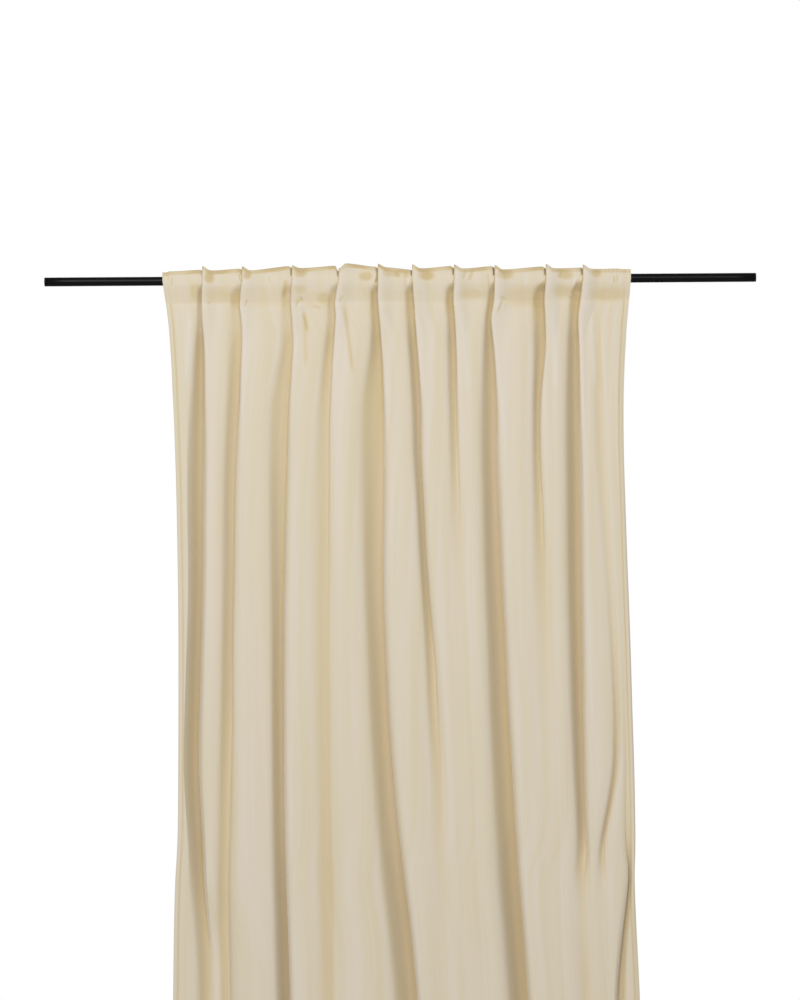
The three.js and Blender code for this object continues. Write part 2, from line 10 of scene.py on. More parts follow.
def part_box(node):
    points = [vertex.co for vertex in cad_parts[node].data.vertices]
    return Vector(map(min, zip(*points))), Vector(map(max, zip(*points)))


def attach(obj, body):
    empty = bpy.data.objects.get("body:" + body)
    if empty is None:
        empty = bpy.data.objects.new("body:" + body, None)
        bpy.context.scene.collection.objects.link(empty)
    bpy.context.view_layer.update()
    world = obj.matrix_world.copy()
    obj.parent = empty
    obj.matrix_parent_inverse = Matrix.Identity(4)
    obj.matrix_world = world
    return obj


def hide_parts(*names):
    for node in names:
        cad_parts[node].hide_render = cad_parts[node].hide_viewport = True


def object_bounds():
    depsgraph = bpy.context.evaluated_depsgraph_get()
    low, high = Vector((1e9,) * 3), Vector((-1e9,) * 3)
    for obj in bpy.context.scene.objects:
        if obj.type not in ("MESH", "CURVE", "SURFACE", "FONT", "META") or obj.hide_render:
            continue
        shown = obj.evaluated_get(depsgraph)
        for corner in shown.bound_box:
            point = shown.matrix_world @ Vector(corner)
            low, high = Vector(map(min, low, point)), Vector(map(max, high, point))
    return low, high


bl_info = {
    "name": "Velvet Curtain on a Rod",
    "version": (1, 0, 0),
    "blender": (4, 5, 0),
    "location": "3D View > Sidebar > Curtain",
    "description": "Makes a pleated velvet curtain, its heading and its rod around a packed frame",
    "category": "Object",
}

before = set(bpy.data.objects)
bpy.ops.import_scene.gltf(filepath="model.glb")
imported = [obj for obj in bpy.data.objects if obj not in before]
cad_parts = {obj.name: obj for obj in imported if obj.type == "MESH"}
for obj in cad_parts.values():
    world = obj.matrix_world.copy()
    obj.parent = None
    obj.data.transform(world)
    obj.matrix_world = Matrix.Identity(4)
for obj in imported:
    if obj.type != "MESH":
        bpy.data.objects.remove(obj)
FRAME_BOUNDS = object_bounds()
BODY = "root"
MM = 0.001
TAB_NODES = sorted(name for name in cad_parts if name.startswith("tab_"))

# Drops below the rod's axis, in millimetres, that the lists in FOLDS and the two sides follow
LEVELS = np.array([0, 50, 90, 160, 270, 420, 720, 1080, 1260, 1360, 1620, 2470], dtype=float)
DROP = 2470

# The folds, from left to right, in millimetres. edge is where the ridge to the right of a fold begins, mouth
# is how wide the fold opens to the left of it, and depth is how far it goes back next to the deepest ones.
# Where a fold has a sink, the ridge on its right drops towards its bottom by that share, between two drops.
FOLDS = [
    {"pleated": True, "edge": [-443, -445, -444, -440, -440, -443, -448, -458, -451, -447, -430, -438],
     "mouth": [14, 14, 16, 26, 33, 36, 32, 34, 32, 31, 34, 34],
     "depth": [0.8, 0.8, 0.7, 0.65, 0.75, 0.85, 1, 1, 0.92, 0.68, 0.34, 0.3], "sink": (1350, 1560, 0.92)},
    {"pleated": True, "edge": [-354, -360, -359, -358, -361, -370, -377, -387, -393, -396, -394, -390],
     "mouth": [25, 25, 27, 31, 34, 32, 30, 28, 28, 28, 24, 30],
     "depth": [0.45, 0.45, 0.35, 0.38, 0.5, 0.56, 0.6, 0.46, 0.34, 0.32, 0.36, 0.45]},
    {"pleated": True, "edge": [-242, -245, -245, -243, -249, -255, -264, -267, -266, -264, -257, -250],
     "mouth": [26, 26, 26, 32, 50, 46, 33, 30, 30, 30, 32, 34],
     "depth": [0.45, 0.45, 0.38, 0.38, 0.45, 0.6, 0.8, 0.85, 0.85, 0.85, 0.95, 1]},
    {"pleated": True, "edge": [-137, -146, -146, -152, -160, -162, -162, -162, -160, -158, -158, -152],
     "mouth": [20, 20, 22, 25, 28, 36, 42, 42, 42, 42, 40, 40],
     "depth": [0.55, 0.55, 0.5, 0.4, 0.3, 0.26, 0.22, 0.2, 0.2, 0.2, 0.16, 0.16]},
    {"pleated": True, "edge": [-49, -49, -46, -41, -37, -37, -40, -24, -8, 3, 29, 50],
     "mouth": [22, 22, 24, 32, 56, 58, 47, 47, 50, 51, 52, 46],
     "depth": [0.75, 0.75, 0.75, 0.65, 0.6, 0.7, 0.9, 1, 1, 1, 1, 1]},
    {"pleated": True, "edge": [28, 32, 34, 39, 46, 47, 63, 87, 94, 98, 104, 120],
     "mouth": [24, 24, 25, 24, 25, 21, 21, 26, 28, 30, 30, 30],
     "depth": [0.8, 0.8, 0.75, 0.62, 0.6, 0.6, 0.56, 0.22, 0.12, 0.09, 0.05, 0.05]},
    {"pleated": True, "edge": [122, 120, 123, 126, 127, 128, 134, 142, 146, 149, 160, 180],
     "mouth": [22, 22, 22, 24, 24, 20, 16, 14, 14, 14, 14, 14],
     "depth": [0.8, 0.8, 0.7, 0.52, 0.4, 0.26, 0.05, 0, 0, 0, 0, 0]},
    {"pleated": True, "edge": [213, 211, 205, 211, 217, 217, 228, 244, 254, 260, 278, 310],
     "mouth": [18, 18, 18, 28, 39, 39, 43, 47, 48, 49, 47, 46],
     "depth": [0.8, 0.8, 0.75, 0.68, 0.8, 0.92, 1.1, 1.1, 1.1, 1.1, 1.1, 1.1]},
    {"pleated": True, "edge": [328, 324, 326, 326, 316, 314, 325, 335, 341, 344, 355, 375],
     "mouth": [30, 30, 32, 30, 23, 22, 26, 20, 16, 16, 16, 16],
     "depth": [0.85, 0.85, 0.75, 0.6, 0.5, 0.36, 0.15, 0.03, 0, 0, 0, 0]},
    {"pleated": True, "edge": [411, 405, 400, 402, 403, 403, 405, 407, 411, 420, 432, 436],
     "mouth": [28, 28, 26, 30, 34, 34, 35, 28, 24, 38, 48, 48],
     "depth": [0.85, 0.85, 0.8, 0.75, 0.85, 0.95, 1, 0.85, 0.6, 0.14, 0.12, 0.08]},
    {"pleated": False, "edge": [478, 474, 448, 452, 462, 464, 478, 483, 451, 441, 452, 458],
     "mouth": [13, 13, 13, 16, 28, 26, 13, 13, 12, 11, 10, 10],
     "depth": [0, 0, 0.06, 0.08, 0.12, 0.12, 0.1, 0.28, 0.3, 0.05, 0, 0]},
    {"pleated": False, "turned": True, "edge": [492, 490, 480, 476, 478, 483, 498, 507, 511, 511, 496, 506],
     "mouth": [10, 10, 10, 10, 9, 8, 7, 5, 6, 10, 21, 24],
     "depth": [0, 0, 0, 0, 0, 0, 0, 0.05, 0.16, 0.36, 0.5, 0.6], "sink": (1200, 1500, 0.5)},
]

# The cloth's two side edges, in millimetres
LEFT_SIDE = [-534, -527, -522, -517, -512, -507, -503, -505, -508, -514, -520, -526]
RIGHT_SIDE = [518, 514, 510, 505, 500, 500, 508, 517, 519, 517, 528, 540]

# The front of the hanging ridges: drops, and how far in front of the rod's axis it stands there
FRONT_DROPS = [-40, -28, -20, -12, 0, 10, 22, 36, 50, 60, 120, 270, 580, 1220, DROP]
FRONT_PLACES = [-2.5, -5.5, -8.5, -12.4, -14.4, -14.2, -12.4, -9.8, -7.6, -8.6, -10, -14, -19, -23, -26]

# The top edge, one row for each stretch between pleats: how high it stands above the rod's axis at the
# pleat's tip, in the dip after it, where it swells, and where it runs under the next pleat. rim is how dark
# the painted shade along it is.
TOPS = [
    {"tip": 19.7, "dip": 21.5, "swell": 24.6, "end": 23.8, "rim": 0.48},
    {"tip": 32.6, "dip": 22.4, "swell": 26.6, "end": 25.3, "rim": 0.72},
    {"tip": 31.3, "dip": 22.2, "swell": 31.8, "end": 29.0, "rim": 0.66},
    {"tip": 32.9, "dip": 26.6, "swell": 32.0, "end": 20.5, "rim": 0.75},
    {"tip": 26.0, "dip": 36.5, "swell": 29.5, "end": 27.8, "rim": 0.6},
    {"tip": 35.2, "dip": 27.0, "swell": 22.3, "end": 21.2, "rim": 0.72},
    {"tip": 33.3, "dip": 24.1, "swell": 29.7, "end": 26.7, "rim": 0.66},
    {"tip": 32.3, "dip": 23.2, "swell": 28.5, "end": 27.2, "rim": 0.66},
    {"tip": 30.5, "dip": 20.3, "swell": 27.0, "end": 24.7, "rim": 0.6},
    {"tip": 32.0, "dip": 22.1, "swell": 23.8, "end": 24.1, "rim": 0.6},
    {"tip": 30.3, "dip": 20.5, "swell": 21.2, "end": 19.5, "rim": 0.4},
]

# Painted shadow beside each pleat of the heading: how dark the gap at its top is, down to a height above
# the rod's axis, and how dark the painted shade below it is
PLEAT_SHADES = [
    {"gap": 0.3, "gap_end": 6, "shade": 0.2},
    {"gap": 0.6, "gap_end": 6, "shade": 0.45},
    {"gap": 0.9, "gap_end": 5, "shade": 0.4},
    {"gap": 0.9, "gap_end": 3, "shade": 0.6},
    {"gap": 0.8, "gap_end": -12, "shade": 0.85},
    {"gap": 0.9, "gap_end": 3, "shade": 0.85},
    {"gap": 0.9, "gap_end": 4, "shade": 0.9},
    {"gap": 0.95, "gap_end": 2, "shade": 0.9},
    {"gap": 0.9, "gap_end": 2, "shade": 1.0},
    {"gap": 0.9, "gap_end": 2, "shade": 0.95},
    {"gap": 0, "gap_end": 0, "shade": 0},
    {"gap": 0, "gap_end": 0, "shade": 0},
]

# The painted shade in a fold, one row for each drop: how dark it is, the place among the fold's control
# points where it begins, how far it takes to reach its full strength, and where it ends
SHADES = [
    {"drop": -10, "tone": 0.35, "onset": 2.4, "reach": 0.9, "end": 8.4},
    {"drop": 2, "tone": 0.44, "onset": 2.4, "reach": 0.9, "end": 8.4},
    {"drop": 30, "tone": 0.52, "onset": 0.4, "reach": 1.4, "end": 8.4},
    {"drop": 60, "tone": 0.56, "onset": 0.2, "reach": 1.5, "end": 8.4},
    {"drop": 110, "tone": 0.37, "onset": 0.4, "reach": 1.9, "end": 8.0},
    {"drop": 380, "tone": 0.28, "onset": 0.4, "reach": 1.9, "end": 7.4},
    {"drop": 600, "tone": 0.3, "onset": 0.4, "reach": 1.9, "end": 7.2},
    {"drop": 945, "tone": 0.33, "onset": 0.4, "reach": 1.9, "end": 7.2},
    {"drop": 1400, "tone": 0.32, "onset": 0.4, "reach": 1.9, "end": 7.2},
]
# How dark the painted shade may get, outside the heading's painted gap shadows
DARKEST_SHADE = 0.68

# Sharp small creases: where each starts and ends as x and drop, its width, and how far it goes back.
# Those with a negative depth stand forward.
CREASES = [
    (-513, -12, -513, 15, 2.2, 1.2), (-517, -12, -516, 11, 2.2, -0.8), (-521, -14, -520, 2, 1.8, 0.6),
    (-369, -15, -358, 14, 2.7, -1.0), (-364, -17, -356, 5, 2.2, 1.0), (-433, 56, -427, 47, 2.2, 1.0),
    (-349, 61, -343, 43, 2.2, 1.2), (-346, 68, -341, 50, 2.2, -0.8), (-295, -10, -291, 8, 2.2, 0.8),
    (-287, -8, -290, 10, 2.2, -0.6), (-255, -3, -263, 44, 5.0, 1.6), (-225, 39, -218, 48, 2.7, 1.4),
    (-227, 42, -236, 64, 2.0, 1.2), (-223, 51, -223, 85, 4.5, -1.0), (-218, 67, -208, 121, 4.0, 1.2),
    (-192, 52, -170, 60, 2.7, -0.9), (-199, 60, -176, 65, 2.7, 0.6), (-137, 52, -129, 37, 2.0, 1.5),
    (-127, 40, -106, 225, 4.0, 2.2), (16, -8, 24, 23, 2.2, -1.0), (11, -4, 11, 19, 2.2, 0.7),
    (105, -12, 117, 15, 2.2, -0.9), (149, -20, 140, 3, 2.5, 1.4), (163, -21, 155, 7, 2.9, 1.2),
    (156, -19, 147, 8, 2.7, -0.8), (237, -20, 237, -5, 2.0, 1.2), (220, -25, 231, 9, 4.5, -0.8),
    (225, 40, 236, 49, 3.1, 1.4), (231, 47, 216, 81, 2.2, 1.5), (225, 43, 217, 74, 2.7, -1.0),
    (281, -6, 285, 21, 3.1, -0.7), (399, -8, 385, 26, 2.7, -1.0), (402, 3, 388, 39, 4.5, 1.2),
    (480, -5, 482, 13, 2.0, 0.9), (487, -10, 488, 11, 1.8, 0.9), (476, 4, 474, 17, 2.7, -0.8),
    (493, -5, 495, 20, 2.9, -0.8), (364, -17, 355, 1, 2.2, 0.7), (196, -16, 200, 24, 2.7, 1.0),
    (298, 45, 314, 48, 2.2, 1.0), (377, 44, 391, 43, 2.2, 0.8), (137, 51, 152, 272, 7.0, -1.2),
    (442, 60, 452, 274, 5.0, 0.5), (427, 48, 440, 260, 7.0, -1.4), (344, 48, 352, 273, 7.0, -1.2),
    (-215, 71, -213, 202, 4.5, 0.8), (-472, 60, -482, 240, 7.0, -1.2),
]

# Soft dents in the heading: x, drop, half the width, half the height, and the depth
DENTS = [
    (-428, -7, 11, 14, 1.8), (-343, -11, 9, 9, 1.8), (-224, -17, 14, 11, 1.6), (-77, -7, 15, 10, 1.4),
    (-23, -13, 14, 8, 1.2), (-5, -12, 7, 8, 1.6), (13, -10, 7, 7, 1.2), (60, -8, 16, 11, 1.8),
    (236, -9, 18, 11, 1.6), (371, -7, 16, 10, 1.4), (441, -10, 11, 9, 1.4), (-460, 25, 11, 20, 0.6),
    (-370, 39, 14, 18, 0.8), (-413, 34, 27, 16, 0.5), (-226, 22, 14, 9, 0.5), (161, 35, 29, 11, 0.6),
    (271, 41, 36, 20, 0.6), (364, 30, 20, 14, 0.8), (469, 38, 40, 16, 0.8), (317, 30, 9, 20, 0.4),
    (-172, 42, 14, 11, 0.8),
]

# Painted shade in stretches between the rod and the line of stitching below it: the x and drop where each
# begins and ends, and how dark it is
BANDS = [
    (-530, -472, 14, 52, 0.08), (-472, -446, 10, 50, 0.12), (-440, -378, 14, 51, 0.1),
    (-355, -250, 16, 60, 0.1), (-243, -212, 14, 52, 0.14), (-212, -158, 24, 62, 0.12),
    (-130, -60, 16, 44, 0.08), (-46, 26, 24, 48, 0.06), (32, 110, 26, 58, 0.04),
    (134, 196, 12, 44, 0.09), (232, 322, 14, 62, 0.07), (345, 395, 14, 40, 0.07),
    (424, 516, 10, 47, 0.06),
]

# Bands of rows down the cloth: the drop where each band ends, and the rows in it. The face's columns are
# closer in the fine bands, where the back has one row for every few of the face's.
FINE_BANDS = [(70, 37), (134, 12), (280, 15)]
LONG_BANDS = [(400, 9), (1700, 41), (2380, 12), (DROP, 5)]
TOP_DROP = -28
COLUMN_STEP = 7.4
FINE_STEP = 4.0
HEM_COLUMNS = 3
BACK_STEP = 4

# Control points: how many each fold has with the ridge beside it, how many come before the first fold, and
# how many there are in all
FOLD_POINTS = 12
EDGE_POINTS = 4
POINT_COUNT = EDGE_POINTS + len(FOLDS) * FOLD_POINTS + 2

# The drops at which the folds are made as full as the cloth's width asks for, the limits of that fullness,
# and how many halvings it is found in
FITTED_DROPS = np.array([*range(0, 300, 15), *range(300, DROP, 60), DROP], dtype=float)
FULLNESS_LIMITS = (0.1, 3.0)
FITTING_ROUNDS = 22

# How dark the painted shade on a ridge is, next to its darkest; a painted highlight takes it off at the
# crest
RIDGE_TONE = 0.12

# Places of the heights in TOPS among a fold's control points, counted from the pleat's front turn, and how
# high the cloth stands inside a pleat
TIP_POINT = 7.6
TIP_END = 0.5
DIP_POINT = 1.7
SWELL_SHARE = 0.6
UNDER_POINT = 2.4
TUCKED_FROM = 1.2
TUCKED_TO = 1.8
TUCKED_TOP = 17.5

# From this height above the rod's axis on, the rows spread to follow the top edge
EVEN_ROWS_END = 10

# Pleats: the room between their three layers, how wide each opens at the top edge, and the drops between
# which its mouth widens and between which it opens into a fold
TUCK_ROOM = 4
EDGE_ROOM = 5
TOP_MOUTH = 8
MOUTH_WIDENS = (-14, 26)
PLEAT_OPENS = (50, 150)
PLEAT_UPRIGHT = 0.5

# How far the cloth goes back where it runs under the next pleat, below the rod and above it: the drops
# where this starts and ends, and the distance. Folds with a depth below FULL_RECESS go back less.
RECESS_BELOW = (6, 32, 13)
RECESS_ABOVE = (-6, -24, 6)
FULL_RECESS = 0.75

# A pleat where it runs under the next ridge: how far along its mouth each point lies, and how far back
UNDERLAP = [(0.15, 0.15), (0.42, 0.55), (0.75, 0.9)]

# The left slope of a hanging fold: how far along its mouth each point lies, and how far down
SLOPE = [(0, 0.07), (0.24, 0.36), (0.48, 0.68), (0.76, 0.88)]

# Folds below the heading: how far the wall on their right leans out where it is sharp and where it is soft,
# the size of the nose on top of it, and the drops between which it softens
SHARP_LEAN = 0.3
SOFT_LEAN = 0.16
SHARP_NOSE = 2
SOFT_NOSE = 16
NOSE_SOFTENS = (110, 450)
NOSE_SHARE = 0.35
CREST = 3.5
CROWN_SHARE = 0.08
SIDE_CURL = 3

# Folds shallower than a full one are drawn as plain troughs. A pleated fold's full depth grows on the way
# down, between two drops.
SMALL_FOLD = 8
FULL_FOLD = 20
LOW_FULL_FOLD = 40
FULL_FOLD_GROWS = (450, 1200)

# Hems, and the drops of the two lines of stitching that hold the tape
HEM_WIDTH = 11
HEM_SHARE = 0.4
HEM_EXTRA = 0.8
BOTTOM_HEM = 80
STITCH_DROP = 50
UPPER_STITCH = -17

# Grooves in the cloth's face along its seams: how deep each is, and half its width
SIDE_GROOVE = (0.8, 1.6)
BOTTOM_GROOVE = (0.5, 2.5)
STITCH_GROOVE = (0.08, 1.8)
UPPER_GROOVE = (0.35, 1.8)

# The cloth's rounded edges: how thin it is there next to its full thickness, how wide the rounding is, and
# how many times as wide it is at the bottom
EDGE_THINNESS = 0.35
EDGE_ROUNDING = 2.5
BOTTOM_ROUNDING = 3

# How dark the painted shade is in a crease, a dent and the side hem's seam. A crease fades in and out over
# a share of its length, only depths between two limits change its shade, and a dent reaches past its half
# width.
CREASE_TONE = 0.35
CREASE_ENDS = 0.25
CREASE_TONE_DEPTHS = (-0.4, 1.2)
DENT_TONE = 0.32
DENT_REACH = 1.5
HEM_TONE = (0.45, 2)

# Where the painted shade changes: with the depth in a fold and towards its end, across a gap between pleats
# by control points and below it by height, down from the top edge, at a band's sides, and where a painted
# highlight lies on a ridge's crest, by control points after its edge and by depth
FOLD_TONE_DEPTHS = (1, 10)
FOLD_TONE_END = 1.6
GAP_OPENS = (0.9, 2.3)
GAP_CLOSES = (7.3, 6.3)
GAP_FADE = 7
RIM_HEIGHTS = (-11, -7)
BAND_SOFTNESS = 3
CREST_WIDE = (4.0, 1.5)
CREST_NARROW = (1.7, 0.5)
CREST_DEPTHS = (3, -1)

# Tape, straps and rod, as in the frame
GAP = 0.3
TAPE_THICKNESS = 1.0
TAPE_RISE = 20
TAPE_DROP = 50
TAPE_EASE = 1.6
TAPE_EASE_HEIGHT = 14
TAPE_ROOM = 0.5
TAPE_GAP = 0.4
FOOT_GAP = 0.65
STRAP_THICKNESS = 1.2
STRAP_TOP = 19
STRAP_BOTTOM = 26
STRAP_FOOT = 13.5
STRAP_ARC = (104, -112)
ROD_RADIUS = 10
TUBE_WALL = 1
CAP_FLANGE = 4.5
CAP_INSERT = 20
CAP_BEVEL = 0.8

# The tape's back, which isn't quite flat: the height, length and start of each wave along it
TAPE_WAVES = [(0.12, 9.0, 0), (0.1, 23.0, 1)]
TAPE_ROWS = 29
TAPE_COLUMNS = 241

# One face of a strap's section, from edge to edge: the place across it and the height, as shares
STRAP_FACE = [(-1, 0.55), (-0.93, 1), (-0.5, 1), (0, 1), (0.5, 1), (0.93, 1), (1, 0.55)]

# The rounding of the tube's ends and of a plug's stem, the steps of a plug's rounded rim, the radii of the
# rings on its flat end, and what the round pieces are cut into
TUBE_EASE = 0.25
STEM_EASE = 1
RIM_STEPS = 7
END_RINGS = (7, 2)
ROD_SIDES = 96
TUBE_RINGS = 41

# A strap's path: the points in its upper foot, its loop and its lower foot
STRAP_STEPS = (5, 37, 7)

# Threads: the pitch along a seam and across a strap, a stitch's size, how far its ends dip under its face
# as a share of its height, and how far tacks stand off the strap
STITCH_PITCH = 4.2
TACK_PITCH = 3.4
STITCH_LENGTH = 3.0
STITCH_WIDTH = 0.55
STITCH_RAISE = 0.25
STITCH_DIP = 0.3
SEWN_RAISE = 0.15

# A seam on the cloth's face shows where its normal's Y is below one limit, and the heading's seams only
# where the cloth is less far back than another
FACES_ROOM = -0.2
SEEN_DEPTH = 1.5

# Seams on the back: how far the tape's lie inside its edges and its ends, and the straps' inside their ends
# and sides
TAPE_SEAM_INSET = 3
TAPE_SEAM_MARGIN = 2
TACK_INSETS = (2, 4.5)
TACK_MARGIN = 1.5


def mix(start, end, part):
    return start + (end - start) * part


def smooth_step(value):
    part = np.clip(value, 0, 1)
    return part * part * (3 - 2 * part)


def ramp(value, start, end):
    """How far a value is on the way from start to end, as a smooth share."""
    return smooth_step((value - start) / (end - start))


def groove(off, depth, reach):
    """The depth of a soft groove at a distance off its middle."""
    return depth * np.exp(-(off / reach) ** 2)


def value_at(levels, drop):
    """A list's value at a drop, as a smooth curve through its levels."""
    values = np.asarray(levels, dtype=float)
    slopes = np.empty(len(values))
    slopes[1:-1] = (values[2:] - values[:-2]) / (LEVELS[2:] - LEVELS[:-2])
    slopes[0] = (values[1] - values[0]) / (LEVELS[1] - LEVELS[0])
    slopes[-1] = (values[-1] - values[-2]) / (LEVELS[-1] - LEVELS[-2])
    place = min(max(drop, LEVELS[0]), LEVELS[-1])
    level = int(np.clip(np.searchsorted(LEVELS, place) - 1, 0, len(LEVELS) - 2))
    span = LEVELS[level + 1] - LEVELS[level]
    t = (place - LEVELS[level]) / span
    start = values[level] + slopes[level] * span * t * (1 - t)
    end = values[level + 1] - slopes[level + 1] * span * (1 - t) * t
    return mix(start, end, smooth_step(t))


def front_at(drop):
    return np.interp(drop, FRONT_DROPS, FRONT_PLACES)


def recess_at(drop):
    """How far the cloth goes back where it runs under the next pleat."""
    return sum(by * ramp(drop, start, end) for start, end, by in (RECESS_BELOW, RECESS_ABOVE))


def recess_share(row):
    """Shallow folds go back less under their pleat."""
    return min(1, row["depth"][0] / FULL_RECESS)


def pleat_points(edge, mouth, tuck, recess):
    """A pleat in the heading: the cloth runs under the next ridge, turns, comes back and turns again."""
    start = edge - mouth
    middle = -TUCK_ROOM
    front = -TUCK_ROOM - EDGE_ROOM
    return np.array([
        (start - 3, 0),
        *((start + along * mouth, back * recess) for along, back in UNDERLAP),
        (edge + tuck, recess), (edge + tuck, middle + recess),
        (edge + 0.3 * tuck, middle + 0.5 * recess), (edge - 1, middle),
        (edge - 1, front), (edge + 10, front), (edge + 32, -0.4),
    ], dtype=float)


def hanging_points(fold, room_left, room_right, full_depth):
    """A hanging fold: a soft shoulder, a slope, a bottom, and a wall up to the nose of the next ridge."""
    edge, mouth, depth = fold["edge"], fold["mouth"], fold["depth"]
    left_back, right_back = fold["left_back"], fold["right_back"]
    softness = fold["softness"]
    rise = min(depth / full_depth, 1)
    height = max(depth - right_back, 0)
    lean = mix(SHARP_LEAN, SOFT_LEAN, softness) * height
    nose = mix(SHARP_NOSE, SOFT_NOSE, softness) * min(height / SMALL_FOLD, 1)
    crest = CREST * rise * (1 - 0.7 * softness)
    start = edge - mouth
    points = np.array([
        (start - min(12, room_left / 4), left_back),
        *((start + along * mouth, mix(left_back, depth, down)) for along, down in SLOPE),
        (edge + 0.75 * lean, depth),
        (edge + lean, mix(right_back, depth, 0.62)),
        (edge + mix(-0.4, -0.2, softness) * nose, right_back + min(nose, NOSE_SHARE * height)),
        (edge + mix(-0.1, 0.25, softness) * nose, right_back + 0.3 * rise * nose - crest),
        (edge + min(6 + nose, room_right / 5), right_back - 1.2 * crest),
        (edge + min(30, room_right / 2.2), right_back),
    ])
    full = smooth_step(depth / fold["full_fold"])
    part = np.linspace(0, 1, len(points))
    deeper = max(depth - left_back, depth - right_back, 0) * np.sin(math.pi * part) ** 2
    trough = mix(left_back, right_back, part) + deeper
    points[:, 0] = mix(mix(points[0, 0], points[-1, 0], part), points[:, 0], full)
    points[:, 1] = mix(points[:, 1], trough, (1 - full) * softness)
    return points


def turned_points(fold, room_left, room_right, full_depth):
    """The same fold seen in a mirror, for one that leans under the ridge on its left."""
    mirrored = dict(fold, edge=fold["mouth"] - fold["edge"],
                    left_back=fold["right_back"], right_back=fold["left_back"])
    points = hanging_points(mirrored, room_right, room_left, full_depth)[::-1]
    return points * (-1, 1)


def control_points(drop, fullness, full_depth, full_tuck):
    """The points that guide the cloth's curve, seen from above at one drop."""
    left = value_at(LEFT_SIDE, drop)
    right = value_at(RIGHT_SIDE, drop)
    opening = ramp(drop, *PLEAT_OPENS)
    softness = ramp(drop, *NOSE_SOFTENS)
    low_full = mix(FULL_FOLD, LOW_FULL_FOLD, ramp(drop, *FULL_FOLD_GROWS))
    curl = SIDE_CURL * opening
    folds = []
    back = 0.0
    for row in FOLDS:
        depth = max(value_at(row["depth"], drop), 0) * full_depth * fullness
        depth *= 1 if row["pleated"] else opening
        from_drop, to_drop, share = row.get("sink", (0, 1, 0))
        sunk = share * ramp(drop, from_drop, to_drop)
        folds.append({"edge": value_at(row["edge"], drop), "mouth": value_at(row["mouth"], drop),
                      "depth": depth, "softness": softness,
                      "full_fold": low_full if row["pleated"] else FULL_FOLD,
                      "left_back": back, "right_back": sunk * depth})
        back = sunk * depth
    hem = min(HEM_WIDTH - 1, HEM_SHARE * (folds[0]["edge"] - folds[0]["mouth"] - left))
    points = [np.array([(left, curl), (left + hem, curl / 3), (left + 2 * hem, 0)])]
    for index, (row, fold) in enumerate(zip(FOLDS, folds)):
        before = folds[index - 1]["edge"] if index else left + 2 * hem
        after = folds[index + 1]["edge"] - folds[index + 1]["mouth"] if index + 1 < len(folds) else right
        room_left = fold["edge"] - fold["mouth"] - before
        room_right = after - fold["edge"]
        shape = turned_points if row.get("turned") else hanging_points
        own = shape(fold, room_left, room_right, full_depth)
        if row["pleated"]:
            recess = recess_at(drop) * recess_share(row)
            mouth = mix(TOP_MOUTH, fold["mouth"], ramp(drop, *MOUTH_WIDENS))
            own = mix(pleat_points(fold["edge"], mouth, full_tuck * fullness, recess), own, opening)
        last = points[-1][-1]
        crown = CROWN_SHARE * opening * (own[0, 0] - last[0])
        ridge = mix(last, own[0], 0.5) - (0, crown)
        points += [ridge[None], own]
    gap = right - points[-1][-1, 0]
    points.append(np.array([(right - 0.6 * gap, back), (right - 0.3 * gap, back + curl / 3),
                            (right, back + curl)]))
    return np.concatenate(points)


def curve_weights(places):
    """How much each control point counts at each place along the curve, and in its direction there."""
    count = POINT_COUNT
    values = np.zeros((len(places), count + 2))
    slopes = np.zeros((len(places), count + 2))
    spans = np.minimum(places.astype(int), count - 2)
    t = places - spans
    rows = np.arange(len(places))
    basis = [(1 - t) ** 3, 3 * t ** 3 - 6 * t ** 2 + 4, -3 * t ** 3 + 3 * t ** 2 + 3 * t + 1, t ** 3]
    change = [-(1 - t) ** 2, 3 * t ** 2 - 4 * t, -3 * t ** 2 + 2 * t + 1, t ** 2]
    for step in range(4):
        values[rows, spans + step] += basis[step] / 6
        slopes[rows, spans + step] += change[step] / 2
    for table in (values, slopes):
        table[:, 1] += 2 * table[:, 0]
        table[:, 2] -= table[:, 0]
        table[:, -2] += 2 * table[:, -1]
        table[:, -3] -= table[:, -1]
    return values[:, 1:-1], slopes[:, 1:-1]


def curve_length(points, weights):
    return np.linalg.norm(np.diff(weights @ points, axis=0), axis=1).sum()


def solve_fullness(drop, settings, weights):
    """How full the folds are at one drop, so that the curve is as long as the cloth is wide."""
    low, high = FULLNESS_LIMITS
    width = settings.cloth_width / MM
    for _ in range(FITTING_ROUNDS):
        middle = (low + high) / 2
        points = control_points(drop, middle, settings.fold_depth / MM, settings.pleat_tuck / MM)
        if curve_length(points, weights) < width:
            low = middle
        else:
            high = middle
    return low


def band_drops(start, bands):
    drops = []
    for end, count in bands:
        drops.append(np.linspace(start, end, count + 1)[1:])
        start = end
    return np.concatenate(drops)


def column_places(samples):
    """Places along the curve for the columns: at least two to a span, and no further apart than a step."""
    weights, _ = curve_weights(np.arange(POINT_COUNT, dtype=float))
    longest = np.zeros(POINT_COUNT - 1)
    for points in samples:
        longest = np.maximum(longest, np.linalg.norm(np.diff(weights @ points, axis=0), axis=1))
    places = [np.array([0.0])]
    for span, length in enumerate(longest):
        hem = span < 2 or span >= POINT_COUNT - 3
        count = HEM_COLUMNS if hem else max(2, math.ceil(length / COLUMN_STEP))
        places.append(span + np.arange(1, count + 1) / count)
    return np.concatenate(places)


def closer_places(places, samples):
    """The same places with more between them, and how many steps each gap then takes."""
    weights, _ = curve_weights(places)
    gaps = np.max([np.linalg.norm(np.diff(weights @ points, axis=0), axis=1) for points in samples], axis=0)
    steps = np.maximum(1, np.ceil(gaps / FINE_STEP)).astype(int)
    fine = [places[:1]]
    for start, end, count in zip(places, places[1:], steps):
        fine.append(mix(start, end, np.arange(1, count + 1) / count))
    return np.concatenate(fine), steps


